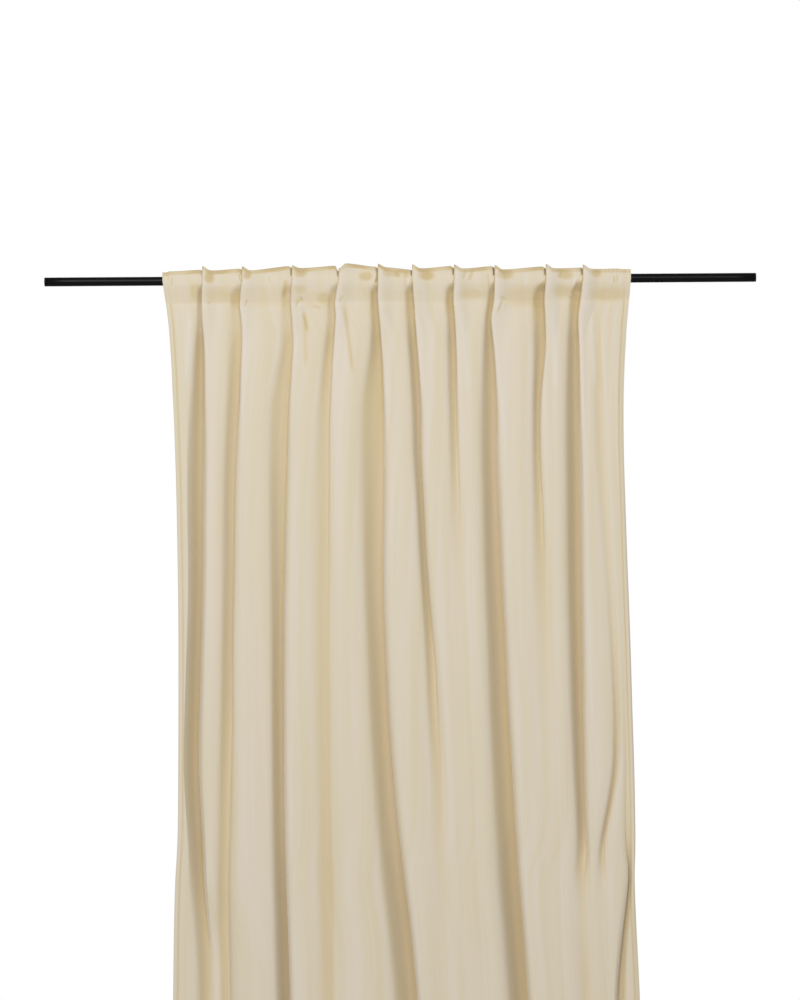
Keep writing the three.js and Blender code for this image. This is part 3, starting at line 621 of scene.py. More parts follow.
def top_edge(places):
    """How high the top edge stands above the rod's axis and how dark the painted shade along its rim is,
    from TOPS.
    """
    pleats = sum(row["pleated"] for row in FOLDS)
    tips = [EDGE_POINTS + index * FOLD_POINTS + TIP_POINT for index in range(pleats)]
    ends = [tip - TIP_POINT + UNDER_POINT for tip in tips] + [POINT_COUNT - 1.0]
    knots, heights = [], []
    for row, tip, end in zip(TOPS, [0.0] + tips, ends):
        dip = tip + DIP_POINT
        knots += [tip, tip + TIP_END, dip, mix(dip, end, SWELL_SHARE), end]
        heights += [row["tip"], row["tip"] - 1, row["dip"], row["swell"], row["end"]]
        if end < tips[-1]:
            knots += [end + TUCKED_FROM, end - UNDER_POINT + TIP_POINT - TUCKED_TO]
            heights += [TUCKED_TOP, TUCKED_TOP]
    knots, heights = np.array(knots), np.array(heights)
    step = np.clip(np.searchsorted(knots, places) - 1, 0, len(knots) - 2)
    part = (places - knots[step]) / (knots[step + 1] - knots[step])
    rims = np.interp(places, [0.0] + tips, [row["rim"] for row in TOPS])
    return mix(heights[step], heights[step + 1], smooth_step(part)), rims


def pressed_places(x, drops):
    """How far the small creases and dents push the cloth back, and how dark the painted shade in them is."""
    pushed = np.zeros_like(x)
    dark = np.zeros_like(x)
    for start_x, start_drop, end_x, end_drop, width, depth in CREASES:
        along = np.array([end_x - start_x, end_drop - start_drop], dtype=float)
        length = np.hypot(*along)
        along /= length
        part = ((x - start_x) * along[0] + (drops - start_drop) * along[1]) / length
        off = (x - start_x) * along[1] - (drops - start_drop) * along[0]
        ends = smooth_step(part / CREASE_ENDS) * smooth_step((1 - part) / CREASE_ENDS)
        shape = ends * groove(off, 1, width)
        pushed += depth * shape
        dark += CREASE_TONE * np.clip(depth, *CREASE_TONE_DEPTHS) * shape
    for middle_x, middle_drop, wide, high, depth in DENTS:
        reach = np.hypot((x - middle_x) / wide, (drops - middle_drop) / high)
        shape = smooth_step(DENT_REACH - reach)
        pushed += depth * shape
        dark += DENT_TONE * depth * shape
    return pushed, dark


def painted_shades(place, behind, x, z, heights, rims, dark):
    """Painted shade from 0 to 1: in folds and heading gaps, under the top edge, below the rod, in pressed
    places.
    """
    point = (place - EDGE_POINTS + 1) % FOLD_POINTS - 1
    # The last fold is the turned one, so its points are counted from the other side
    point = np.where(place > POINT_COUNT - FOLD_POINTS - 2, FOLD_POINTS - 2 - point, point)
    fold = np.clip((place - EDGE_POINTS + 1) // FOLD_POINTS, 0, len(FOLDS) - 1).astype(int)
    near = {key: np.array([row[key] for row in PLEAT_SHADES])[fold] for key in PLEAT_SHADES[0]}
    drops = [row["drop"] for row in SHADES]
    here = {key: np.interp(-z, drops, [row[key] for row in SHADES]) for key in SHADES[0]}
    hanging = ramp(-z, *PLEAT_OPENS)
    # Painted shade deep in each fold and beside the heading's pleats
    bottom = smooth_step((point - here["onset"]) / here["reach"])
    bottom *= smooth_step((here["end"] - point) / FOLD_TONE_END)
    folds = here["tone"] * bottom * mix(near["shade"], ramp(behind, *FOLD_TONE_DEPTHS), hanging)
    # Painted shadow in the gap at the top of each pleat
    in_gap = ramp(point, *GAP_OPENS) * ramp(point, *GAP_CLOSES)
    gap = near["gap"] * in_gap * smooth_step((z - near["gap_end"]) / GAP_FADE)
    # Painted shade along the top edge
    uneven = 0.8 + 0.25 * np.sin(place * 1.9)
    rim = rims * uneven * ramp(z - heights, *RIM_HEIGHTS)
    # Painted shade between the rod and the stitching below it
    bands = np.zeros_like(x)
    for left, right, high, low, strength in BANDS:
        across = ramp(x, left - BAND_SOFTNESS, left + BAND_SOFTNESS)
        across *= ramp(x, right + BAND_SOFTNESS, right - BAND_SOFTNESS)
        bands += strength * across * ramp(-z, high - 5, high + 5) * ramp(-z, low + 2, low - 3)
    # A painted highlight on each ridge's crest, just after its edge, taken off the ridge's painted shade
    after_edge = (place - EDGE_POINTS - TIP_POINT) % FOLD_POINTS
    crest = mix(ramp(after_edge, *CREST_WIDE), ramp(after_edge, *CREST_NARROW), 0.4)
    lit = RIDGE_TONE * crest * ramp(behind, *CREST_DEPTHS)
    shade = np.clip(RIDGE_TONE - lit + folds + rim + bands + dark, 0, DARKEST_SHADE)
    return np.maximum(shade, gap)


class ClothSurface:
    """The middle of the curtain's cloth, as grids of points in millimetres."""

    def __init__(self, settings):
        self.width = settings.cloth_width / MM
        self.depth = settings.fold_depth / MM
        self.tuck = settings.pleat_tuck / MM
        self.fine_drops = np.concatenate([[TOP_DROP], band_drops(TOP_DROP, FINE_BANDS)])
        self.long_drops = band_drops(self.fine_drops[-1], LONG_BANDS)
        self.drops = np.concatenate([self.fine_drops, self.long_drops])
        self.back_drops = np.concatenate([self.fine_drops[::BACK_STEP], self.long_drops])
        steps, _ = curve_weights(np.arange(0, POINT_COUNT - 1 + 0.01, 0.25))
        self.fullness = [solve_fullness(drop, settings, steps) for drop in FITTED_DROPS]
        self.places = column_places([self.guide(drop) for drop in self.drops[::4]])
        self.fine_places, self.fine_steps = closer_places(
            self.places, [self.guide(drop) for drop in self.fine_drops[::4]])

    def guide(self, drop):
        """Control points at a drop."""
        fullness = np.interp(drop, FITTED_DROPS, self.fullness)
        return control_points(drop, fullness, self.depth, self.tuck)

    def grid(self, drops, places):
        """Points at each drop and place, with their plan normals, painted shade and place on the flat cloth.
        """
        values, slopes = curve_weights(places)
        guides = [self.guide(drop) for drop in drops]
        plan = np.array([values @ points for points in guides])
        along = np.array([slopes @ points for points in guides])
        along /= np.linalg.norm(along, axis=2, keepdims=True)
        x, behind = plan[:, :, 0], plan[:, :, 1]
        rows = np.repeat(drops[:, None], len(places), axis=1)
        top, rims = top_edge(places)
        heights = np.repeat(top[None], len(drops), axis=0)
        risen = np.clip((-EVEN_ROWS_END - rows) / (-EVEN_ROWS_END - TOP_DROP), 0, 1)
        z = np.where(risen > 0, mix(EVEN_ROWS_END, heights, risen), -rows)
        upright = PLEAT_UPRIGHT * np.clip(-behind / (TUCK_ROOM + EDGE_ROOM), 0, 1) * (z > 0)
        pushed, dark = pressed_places(x, -z)
        y = mix(front_at(-z), front_at(0), upright) + behind + pushed
        steps = np.linalg.norm(np.diff(plan, axis=1), axis=2)
        across = np.concatenate([np.zeros((len(drops), 1)), np.cumsum(steps, axis=1)], axis=1)
        across *= self.width / across[:, -1:]
        from_side = np.minimum(across, self.width - across)
        # Painted shade along the side hems' seams, below the tape's lower stitching
        dark += groove(from_side - HEM_WIDTH, *HEM_TONE) * (z < -STITCH_DROP)
        return {"point": np.stack([x, y, z], axis=2), "behind": behind,
                "normal": np.stack([along[:, :, 1], -along[:, :, 0], np.zeros_like(x)], axis=2),
                "tone": painted_shades(places[None], behind, x, z, heights, rims[None], dark), "rows": rows,
                "across": across, "down": rows - TOP_DROP}

    def offsets(self, grid, half):
        """How far the front and back lie from the cloth's middle, with its hems and rounded edges."""
        from_side = np.minimum(grid["across"], self.width - grid["across"])
        rows = grid["rows"]
        seams = groove(from_side - HEM_WIDTH, *SIDE_GROOVE)
        seams += groove(rows - DROP + BOTTOM_HEM, *BOTTOM_GROOVE)
        seams += groove(rows - STITCH_DROP, *STITCH_GROOVE)
        seams += groove(rows - UPPER_STITCH, *UPPER_GROOVE)
        edge = np.minimum(from_side, np.minimum(rows - TOP_DROP, (DROP - rows) / BOTTOM_ROUNDING))
        rounded = mix(EDGE_THINNESS, 1, smooth_step(edge / EDGE_ROUNDING))
        hem = HEM_EXTRA * ((from_side < HEM_WIDTH) | (rows > DROP - BOTTOM_HEM))
        return half * rounded - seams, -half * rounded - hem


def moved(grid, out):
    """The grid's points moved out along the plan normals, in metres."""
    return (grid["point"] + out[..., None] * grid["normal"]) * MM


class MeshMaker:
    """Gathers points, faces, a flat map and a painted shade, and makes one object of them."""

    def __init__(self):
        self.points, self.flat, self.tone, self.faces = [], [], [], []
        self.count = 0

    def add(self, points, flat, tone=None):
        """Adds points in metres, with their flat places in millimetres, and gives their numbers."""
        shape = points.shape[:-1]
        size = int(np.prod(shape))
        index = self.count + np.arange(size).reshape(shape)
        self.count += size
        self.points.append(points.reshape(-1, 3))
        self.flat.append(flat.reshape(-1, 2) * MM)
        self.tone.append(np.zeros(size) if tone is None else tone.reshape(-1))
        return index

    def quads(self, index, flip=False):
        a, b, c, d = index[:-1, :-1], index[1:, :-1], index[1:, 1:], index[:-1, 1:]
        order = (a, d, c, b) if flip else (a, b, c, d)
        self.faces += np.stack(order, axis=2).reshape(-1, 4).tolist()

    def strip(self, near, far, near_steps=1, far_steps=1):
        """Faces between two lines of points, each of which takes one or more steps along a face's side."""
        count = (len(near) - 1) if isinstance(near_steps, int) else len(near_steps)
        near_ends = np.cumsum(np.append(0, np.broadcast_to(near_steps, count)))
        far_ends = np.cumsum(np.append(0, np.broadcast_to(far_steps, count)))
        near, far = near.tolist(), far.tolist()
        for face in range(count):
            ahead = far[far_ends[face]:far_ends[face + 1] + 1]
            behind = near[near_ends[face]:near_ends[face + 1] + 1]
            self.faces.append([behind[0], *ahead, *behind[:0:-1]])

    def finish(self, name):
        mesh = bpy.data.meshes.new(name)
        mesh.from_pydata(np.concatenate(self.points).tolist(), [], self.faces)
        corners = np.empty(len(mesh.loops), dtype=np.int32)
        mesh.loops.foreach_get("vertex_index", corners)
        layer = mesh.uv_layers.new(name="flat_cloth")
        layer.data.foreach_set("uv", np.concatenate(self.flat)[corners].astype(np.float32).ravel())
        # The painted shade, one value for each point, darkens the velvet's colour
        tone = mesh.attributes.new("painted_shade", "FLOAT", "POINT")
        tone.data.foreach_set("value", np.concatenate(self.tone).astype(np.float32))
        mesh.polygons.foreach_set("use_smooth", [True] * len(mesh.polygons))
        mesh.update()
        thing = bpy.data.objects.new(name, mesh)
        bpy.context.scene.collection.objects.link(thing)
        return thing


def velvet_panel(surface, half):
    """The closed sheet of the curtain's cloth, with closer columns on its heading's face."""
    heading = surface.grid(surface.fine_drops, surface.fine_places)
    body = surface.grid(surface.long_drops, surface.places)
    behind = surface.grid(surface.back_drops, surface.places)
    maker = MeshMaker()
    flat = {id(grid): np.stack([grid["across"], grid["down"]], axis=2) for grid in (heading, body, behind)}
    top = maker.add(moved(heading, surface.offsets(heading, half)[0]), flat[id(heading)], heading["tone"])
    low = maker.add(moved(body, surface.offsets(body, half)[0]), flat[id(body)], body["tone"])
    back = maker.add(moved(behind, surface.offsets(behind, half)[1]), flat[id(behind)], behind["tone"])
    maker.quads(top)
    maker.strip(top[-1], low[0], near_steps=surface.fine_steps)
    maker.quads(low)
    front_faces = len(maker.faces)
    maker.quads(back, flip=True)
    back_faces = len(maker.faces)
    maker.strip(back[0], top[0], far_steps=surface.fine_steps)
    maker.strip(low[-1], back[-1])
    steps = [BACK_STEP] * (len(top) // BACK_STEP) + [1] * len(low)
    maker.strip(np.concatenate([top[:, -1], low[:, -1]]), back[:, -1], near_steps=steps)
    maker.strip(back[:, 0], np.concatenate([top[:, 0], low[:, 0]]), far_steps=steps)
    return maker.finish("velvet_panel"), front_faces, back_faces


# Threads

def along_path(path, pitch):
    """Even places along a path of points: the index before each one and the part of the way to the next."""
    steps = np.linalg.norm(np.diff(path, axis=0), axis=1)
    reach = np.concatenate([[0], np.cumsum(steps)])
    marks = np.arange(pitch / 2, reach[-1], pitch)
    index = np.clip(np.searchsorted(reach, marks) - 1, 0, len(steps) - 1)
    return index, (marks - reach[index]) / np.maximum(steps[index], 1e-6)


def stitch_line(maker, path, normals, pitch=STITCH_PITCH):
    """Adds a dash of thread at each pitch along a path in millimetres, lying on its face."""
    index, part = along_path(path, pitch)
    middle = mix(path[index], path[index + 1], part[:, None])
    out = mix(normals[index], normals[index + 1], part[:, None])
    out /= np.linalg.norm(out, axis=1, keepdims=True)
    along = path[index + 1] - path[index]
    along /= np.linalg.norm(along, axis=1, keepdims=True)
    aside = np.cross(out, along)
    reach, wide = STITCH_LENGTH / 2, STITCH_WIDTH / 2
    corners = [middle - reach * along - STITCH_DIP * STITCH_RAISE * out, middle + wide * aside,
               middle + STITCH_RAISE * out, middle - wide * aside, middle - STITCH_RAISE * out,
               middle + reach * along - STITCH_DIP * STITCH_RAISE * out]
    points = np.stack(corners, axis=1) * MM
    numbers = maker.add(points, np.zeros(points.shape[:2] + (2,)))
    for start, end in ((1, 2), (2, 3), (3, 4), (4, 1)):
        maker.faces += np.stack([numbers[:, 0], numbers[:, end], numbers[:, start]], axis=1).tolist()
        maker.faces += np.stack([numbers[:, 5], numbers[:, start], numbers[:, end]], axis=1).tolist()


def cloth_stitches(surface, half):
    """The panel's visible stitching: along the tape, the side hems and the bottom hem."""
    maker = MeshMaker()
    fine = surface.fine_places
    for drop in (UPPER_STITCH, STITCH_DROP, DROP - BOTTOM_HEM):
        grid = surface.grid(np.array([float(drop)]), fine)
        face = grid["point"][0] + (surface.offsets(grid, half)[0][0])[:, None] * grid["normal"][0]
        shown = grid["normal"][0][:, 1] < FACES_ROOM
        if drop <= STITCH_DROP:
            shown &= grid["behind"][0] < SEEN_DEPTH
        breaks = np.flatnonzero(np.diff(shown.astype(int))) + 1
        for run in np.split(np.arange(len(fine)), breaks):
            if shown[run[0]] and len(run) > 2:
                stitch_line(maker, face[run], grid["normal"][0][run])
    whole = surface.grid(surface.drops, fine)
    face = whole["point"] + surface.offsets(whole, half)[0][..., None] * whole["normal"]
    for mark in (HEM_WIDTH, surface.width - HEM_WIDTH):
        path, normals = [], []
        for across, points, outs in zip(whole["across"], face, whole["normal"]):
            path.append([np.interp(mark, across, points[:, axis]) for axis in range(3)])
            normals.append([np.interp(mark, across, outs[:, axis]) for axis in range(3)])
        stitch_line(maker, np.array(path), np.array(normals))
    return maker.finish("cloth_stitches")


# Tape, straps and rod

def tape_place(drop):
    """How far behind the rod's axis the pleats' backs reach, where the tape is sewn to them."""
    above = smooth_step(-drop / TAPE_EASE_HEIGHT)
    return front_at(drop) + recess_at(np.where(drop < 0, TAPE_EASE * drop, drop)) + TAPE_ROOM * above


def heading_tape(low, high, half):
    """A closed sheet straight behind the pleats, wavy on its back."""
    near = half + TAPE_GAP
    drops = np.linspace(-TAPE_RISE, TAPE_DROP, TAPE_ROWS)
    across = np.linspace(low, high, TAPE_COLUMNS)
    waves = sum(height * np.sin(across / length + start) for height, length, start in TAPE_WAVES)
    maker = MeshMaker()
    layers = []
    x, drop = np.meshgrid(across, drops)
    for back, lift in ((near, 0), (near + TAPE_THICKNESS, waves)):
        y = tape_place(drop) + back + lift
        points = np.stack([x, y, -drop], axis=2) * MM
        layers.append(maker.add(points, np.stack([x - low, drop + TAPE_RISE], axis=2)))
    front, back = layers
    maker.quads(front)
    maker.quads(back, flip=True)
    maker.strip(back[0], front[0])
    maker.strip(front[-1], back[-1])
    maker.strip(back[:, 0], front[:, 0])
    maker.strip(front[:, -1], back[:, -1])
    length = np.hypot(np.diff(tape_place(drops)), np.diff(drops)).sum()
    return maker.finish("woven_tape"), (high - low, length)


def strap_path(half):
    """A strap's middle line in Y and Z: a foot on the tape, a loop behind the rod, and another foot."""
    on_tape = half + TAPE_GAP + TAPE_THICKNESS + FOOT_GAP + STRAP_THICKNESS / 2
    radius = ROD_RADIUS + GAP + STRAP_THICKNESS / 2
    high_steps, loop_steps, low_steps = STRAP_STEPS
    foot_high = [(tape_place(-z) + on_tape, z) for z in np.linspace(STRAP_TOP, STRAP_FOOT, high_steps)]
    foot_low = [(tape_place(-z) + on_tape, z) for z in np.linspace(-STRAP_FOOT, -STRAP_BOTTOM, low_steps)]
    turn = np.radians(np.linspace(*STRAP_ARC, loop_steps))
    loop = np.stack([radius * np.cos(turn), radius * np.sin(turn)], axis=1)
    return np.concatenate([foot_high, loop, foot_low])


def strap(name, middle, width, half):
    """One strap, as a ribbon with rounded edges along its path."""
    path = strap_path(half)
    along = np.gradient(path, axis=0)
    along /= np.linalg.norm(along, axis=1, keepdims=True)
    out = np.stack([-along[:, 1], along[:, 0]], axis=1)
    thick = STRAP_THICKNESS / 2
    section = STRAP_FACE + [(-side, -level) for side, level in STRAP_FACE]
    reach = np.concatenate([[0], np.cumsum(np.linalg.norm(np.diff(path, axis=0), axis=1))])
    maker = MeshMaker()
    rings = []
    for side, level in section:
        plan = path + level * thick * out
        x = np.full(len(path), middle + side * width / 2)
        flat = np.stack([np.full(len(path), side * width / 2), reach], axis=1)
        rings.append(maker.add(np.stack([x, plan[:, 0], plan[:, 1]], axis=1) * MM, flat))
    for ring, following in zip(rings, rings[1:] + rings[:1]):
        maker.strip(ring, following)
    maker.faces.append([ring[0] for ring in rings])
    maker.faces.append([ring[-1] for ring in rings][::-1])
    return maker.finish(name), (width, reach[-1])


def tack_stitches(places, width, tape, half):
    """The stitching on the back: two lines along the tape, and a row across each end of each strap."""
    maker = MeshMaker()
    behind = half + TAPE_GAP + TAPE_THICKNESS
    back = np.array([[0, 1, 0], [0, 1, 0]], dtype=float)
    for drop in (-TAPE_RISE + TAPE_SEAM_INSET, TAPE_DROP - TAPE_SEAM_INSET):
        y = tape_place(drop) + behind
        low, high = tape[0] + TAPE_SEAM_MARGIN, tape[1] - TAPE_SEAM_MARGIN
        stitch_line(maker, np.array([(low, y, -drop), (high, y, -drop)]), back)
    on_strap = behind + FOOT_GAP + STRAP_THICKNESS + SEWN_RAISE
    heights = [STRAP_TOP - inset for inset in TACK_INSETS]
    heights += [-STRAP_BOTTOM + inset for inset in TACK_INSETS]
    reach = width / 2 - TACK_MARGIN
    for middle in places:
        for z in heights:
            y = tape_place(-z) + on_strap
            ends = np.array([(middle - reach, y, z), (middle + reach, y, z)])
            stitch_line(maker, ends, back, TACK_PITCH)
    return maker.finish("tape_stitches")


def turned_piece(section, middle=0.0, flip=False):
    """A round piece on the rod's axis, from its section as places along the axis and radii."""
    maker = MeshMaker()
    turn = np.linspace(0, 2 * np.pi, ROD_SIDES, endpoint=False)
    sign = -1 if flip else 1
    rings = []
    for along, radius in section:
        x = np.full(ROD_SIDES, middle + sign * along)
        points = np.stack([x, radius * np.cos(turn), radius * np.sin(turn)], axis=1) * MM
        flat = np.stack([np.full(ROD_SIDES, along), turn * ROD_RADIUS], axis=1)
        rings.append(maker.add(points, flat))
    for before, after in zip(rings, rings[1:]):
        line, following = (after, before) if flip else (before, after)
        maker.strip(np.append(line, line[0]), np.append(following, following[0]))
    return maker, rings


def rod_tube(low, high):
    """The painted tube, with its outer rims eased."""
    inside = ROD_RADIUS - TUBE_WALL
    rim = ROD_RADIUS - TUBE_EASE
    section = [(low, inside), (low, rim), (low + TUBE_EASE, ROD_RADIUS)]
    section += [(along, ROD_RADIUS) for along in np.linspace(low, high, TUBE_RINGS)[1:-1]]
    section += [(high - TUBE_EASE, ROD_RADIUS), (high, rim), (high, inside), (low, inside)]
    maker, _ = turned_piece(section)
    return maker.finish("painted_tube")


def rod_plug(name, end, flip):
    """A plug with its stem in the tube, a flange against the tube's end, and a rounded rim."""
    insert = ROD_RADIUS - TUBE_WALL - GAP
    stem = -CAP_FLANGE - CAP_INSERT
    section = [(stem, insert - STEM_EASE), (stem + STEM_EASE, insert)]
    section += [(-CAP_FLANGE, insert), (-CAP_FLANGE, ROD_RADIUS)]
    for angle in np.radians(np.linspace(90, 0, RIM_STEPS)):
        section.append((CAP_BEVEL * (np.cos(angle) - 1), ROD_RADIUS + CAP_BEVEL * (np.sin(angle) - 1)))
    section += [(0, radius) for radius in END_RINGS]
    maker, rings = turned_piece(section, end, flip)
    first, last = rings[0].tolist(), rings[-1].tolist()
    maker.faces += [first, last[::-1]] if flip else [first[::-1], last]
    return maker.finish(name)


# Materials

def new_material(name):
    material = bpy.data.materials.new(name)
    material.use_nodes = True
    nodes = material.node_tree.nodes
    nodes.clear()
    output = nodes.new("ShaderNodeOutputMaterial")
    shader = nodes.new("ShaderNodeBsdfPrincipled")
    material.node_tree.links.new(shader.outputs["BSDF"], output.inputs["Surface"])
    return material, shader


def add_node(material, kind, **settings):
    """A node whose plain settings are its own, and whose dictionaries set its input sockets."""
    node = material.node_tree.nodes.new(kind)
    inputs = settings.pop("inputs", {})
    for key, value in settings.items():
        setattr(node, key, value)
    set_inputs(material, node, inputs)
    return node


def set_inputs(material, node, inputs):
    """Sets input sockets to plain values, and links those that are given another node's socket."""
    for key, value in inputs.items():
        if isinstance(value, bpy.types.NodeSocket):
            material.node_tree.links.new(value, node.inputs[key])
        else:
            node.inputs[key].default_value = value


def noise(material, vector, scale=1.0, detail=2.0, roughness=0.6):
    return add_node(material, "ShaderNodeTexNoise", inputs={
        "Vector": vector, "Scale": scale, "Detail": detail, "Roughness": roughness}).outputs["Fac"]


def weighted(material, value, weight, rest=0.0):
    """A value times a weight, plus the rest."""
    return add_node(material, "ShaderNodeMath", operation="MULTIPLY_ADD", inputs={
        0: value, 1: weight, 2: rest}).outputs["Value"]


def colour_ramp(material, value, low, high):
    """A ramp between two colours, each given after its place on the ramp."""
    ramp_node = add_node(material, "ShaderNodeValToRGB", inputs={"Fac": value})
    for element, (position, colour) in zip(ramp_node.color_ramp.elements, (low, high)):
        element.position = position
        element.color = (*colour, 1)
    return ramp_node


def bumps(material, height, strength, distance):
    return add_node(material, "ShaderNodeBump", inputs={
        "Strength": strength, "Distance": distance, "Height": height}).outputs["Normal"]


def flat_position(material, scale):
    """The flat cloth's coordinates, stretched by a scale for across, down and neither."""
    uv = add_node(material, "ShaderNodeUVMap", uv_map="flat_cloth")
    return add_node(material, "ShaderNodeMapping",
                    inputs={"Vector": uv.outputs["UV"], "Scale": scale}).outputs["Vector"]


def velvet_material(settings):
    """Velvet: a short pile with a sheen, faint streaks down the cloth, and painted shade in its folds and
    gaps.
    """
    material, shader = new_material("velvet_pile")
    streaks = noise(material, flat_position(material, (260, 2.2, 1)), detail=3.0)
    bands = noise(material, flat_position(material, (38, 1.1, 1)))
    pile = noise(material, flat_position(material, (1400, 900, 1)))
    level = weighted(material, bands, 0.65, weighted(material, streaks, 0.35))
    lying = colour_ramp(material, level, (0.38, settings.velvet_shadow), (0.62, settings.velvet_colour))
    tone = add_node(material, "ShaderNodeAttribute", attribute_name="painted_shade").outputs["Fac"]
    # Tints for the painted shade: light on a fold's flank, deeper in a fold, darkest as painted shadow in
    # gaps
    tint = colour_ramp(material, tone, (0, (1, 1, 1)), (1, settings.painted_gap_shadow))
    for position, colour in ((0.25, settings.painted_flank_shade), (0.65, settings.painted_fold_shade)):
        tint.color_ramp.elements.new(position).color = (*colour, 1)
    tinted = add_node(material, "ShaderNodeMix", data_type="RGBA", blend_type="MULTIPLY",
                      inputs={"Factor": 1.0})
    colours = [socket for socket in tinted.inputs if socket.type == "RGBA"]
    for socket, source in zip(colours, (lying, tint)):
        material.node_tree.links.new(source.outputs["Color"], socket)
    height = weighted(material, pile, 0.4, streaks)
    set_inputs(material, shader, {
        "Base Color": next(socket for socket in tinted.outputs if socket.type == "RGBA"),
        "Normal": bumps(material, height, 0.16, 0.0006), "Roughness": 0.85, "Specular IOR Level": 0.1,
        "Sheen Weight": 0.6, "Sheen Roughness": 0.45, "Sheen Tint": (1.0, 0.96, 0.9, 1)})
    return material


def woven_material(name, colour, threads, strength):
    """A plain weave: threads across and down, with a little unevenness."""
    material, shader = new_material(name)
    uv = flat_position(material, (threads, threads, 1))
    across, down = (
        add_node(material, "ShaderNodeTexWave", bands_direction=way, inputs={
            "Vector": uv, "Scale": 1.0, "Distortion": 0.6, "Detail": 1.0}).outputs["Fac"] for way in "XY")
    weave = weighted(material, across, down)
    uneven = noise(material, flat_position(material, (40, 12, 1)), detail=3.0, roughness=0.5)
    level = weighted(material, weave, 0.35, uneven)
    dark = [channel * 0.86 for channel in colour]
    set_inputs(material, shader, {
        "Base Color": colour_ramp(material, level, (0.3, dark), (0.85, colour)).outputs["Color"],
        "Normal": bumps(material, weave, strength, 0.0004), "Roughness": 0.9, "Specular IOR Level": 0.15})
    return material


def coated_material(name, colour, roughness, grain):
    """A satin coat on metal or moulded plastic, with a fine orange-peel grain."""
    material, shader = new_material(name)
    place = add_node(material, "ShaderNodeTexCoord").outputs["Object"]
    speckle = noise(material, place, grain, detail=3.0)
    dark = [channel * 0.8 for channel in colour]
    rough = add_node(material, "ShaderNodeMapRange", inputs={
        "Value": speckle, "To Min": roughness - 0.05, "To Max": roughness + 0.07})
    set_inputs(material, shader, {
        "Base Color": colour_ramp(material, speckle, (0.35, dark), (0.7, colour)).outputs["Color"],
        "Normal": bumps(material, speckle, 0.12, 0.0002), "Roughness": rough.outputs["Result"],
        "Specular IOR Level": 0.12})
    return material


# Settings

class CurtainClothSettings(bpy.types.PropertyGroup):
    cloth_width: bpy.props.FloatProperty(
        name="Cloth width", description="Width the panel was cut to", default=1.35, min=1.1, unit="LENGTH")
    cloth_thickness: bpy.props.FloatProperty(
        name="Cloth thickness", description="Thickness of the velvet with its pile",
        default=0.0016, min=0.0005, unit="LENGTH")
    fold_depth: bpy.props.FloatProperty(
        name="Fold depth", description="Depth of the main folds before the cloth's width is fitted",
        default=0.034, min=0.005, unit="LENGTH")
    pleat_tuck: bpy.props.FloatProperty(
        name="Pleat tuck", description="How far each pleat of the heading tucks under",
        default=0.0175, min=0.005, unit="LENGTH")
    velvet_colour: bpy.props.FloatVectorProperty(
        name="Velvet colour", description="Pile seen full on", subtype="COLOR",
        default=(0.732, 0.660, 0.572), min=0, max=1)
    velvet_shadow: bpy.props.FloatVectorProperty(
        name="Pressed velvet colour", description="Pile where it lies over", subtype="COLOR",
        default=(0.70, 0.628, 0.485), min=0, max=1)
    # Tints that the painted shade multiplies the velvet's colour by
    painted_flank_shade: bpy.props.FloatVectorProperty(
        name="Flank tint", description="What the pile's colour is multiplied by where a fold begins",
        subtype="COLOR", default=(0.96, 0.918, 0.795), min=0, max=1)
    painted_fold_shade: bpy.props.FloatVectorProperty(
        name="Fold tint", description="What the pile's colour is multiplied by deep in the folds",
        subtype="COLOR", default=(0.845, 0.745, 0.505), min=0, max=1)
    painted_gap_shadow: bpy.props.FloatVectorProperty(
        name="Gap tint", description="What the pile's colour is multiplied by in the gaps of the heading",
        subtype="COLOR", default=(0.3, 0.24, 0.17), min=0, max=1)
    backing_colour: bpy.props.FloatVectorProperty(
        name="Backing colour", description="The cloth's wrong side", subtype="COLOR",
        default=(0.62, 0.54, 0.42), min=0, max=1)
    thread_colour: bpy.props.FloatVectorProperty(
        name="Thread colour", description="Stitching on the cloth", subtype="COLOR",
        default=(0.65, 0.57, 0.45), min=0, max=1)


class CurtainHeadingSettings(bpy.types.PropertyGroup):
    tape_colour: bpy.props.FloatVectorProperty(
        name="Tape colour", description="Heading tape and straps", subtype="COLOR",
        default=(0.72, 0.65, 0.54), min=0, max=1)


class CurtainRodSettings(bpy.types.PropertyGroup):
    paint_colour: bpy.props.FloatVectorProperty(
        name="Paint colour", description="The rod's satin black paint", subtype="COLOR",
        default=(0.004, 0.004, 0.0045), min=0, max=1)
    paint_roughness: bpy.props.FloatProperty(
        name="Paint roughness", description="From glossy to matt", default=0.38, min=0.1, max=0.9,
        subtype="FACTOR")


class CurtainStageSettings(bpy.types.PropertyGroup):
    camera_distance: bpy.props.FloatProperty(
        name="Camera distance", description="From the camera to the rod", default=6.0, min=2, unit="LENGTH")
    picture_height: bpy.props.FloatProperty(
        name="Picture height", description="Height of the picture at the rod", default=2.25, min=0.5,
        unit="LENGTH")
    camera_roll: bpy.props.FloatProperty(
        name="Camera roll", description="How far the picture leans", default=math.radians(0.378),
        unit="ROTATION")
    surround_strength: bpy.props.FloatProperty(
        name="Surround strength", description="Strength of the even light from all around",
        default=0.27, min=0)
    light_strength: bpy.props.FloatProperty(
        name="Light strength", description="Strength of the soft studio lights", default=1.0, min=0)
    floor_size: bpy.props.FloatProperty(
        name="Floor size", description="Radius of the round floor", default=3.0, min=1, unit="LENGTH")


# Pieces

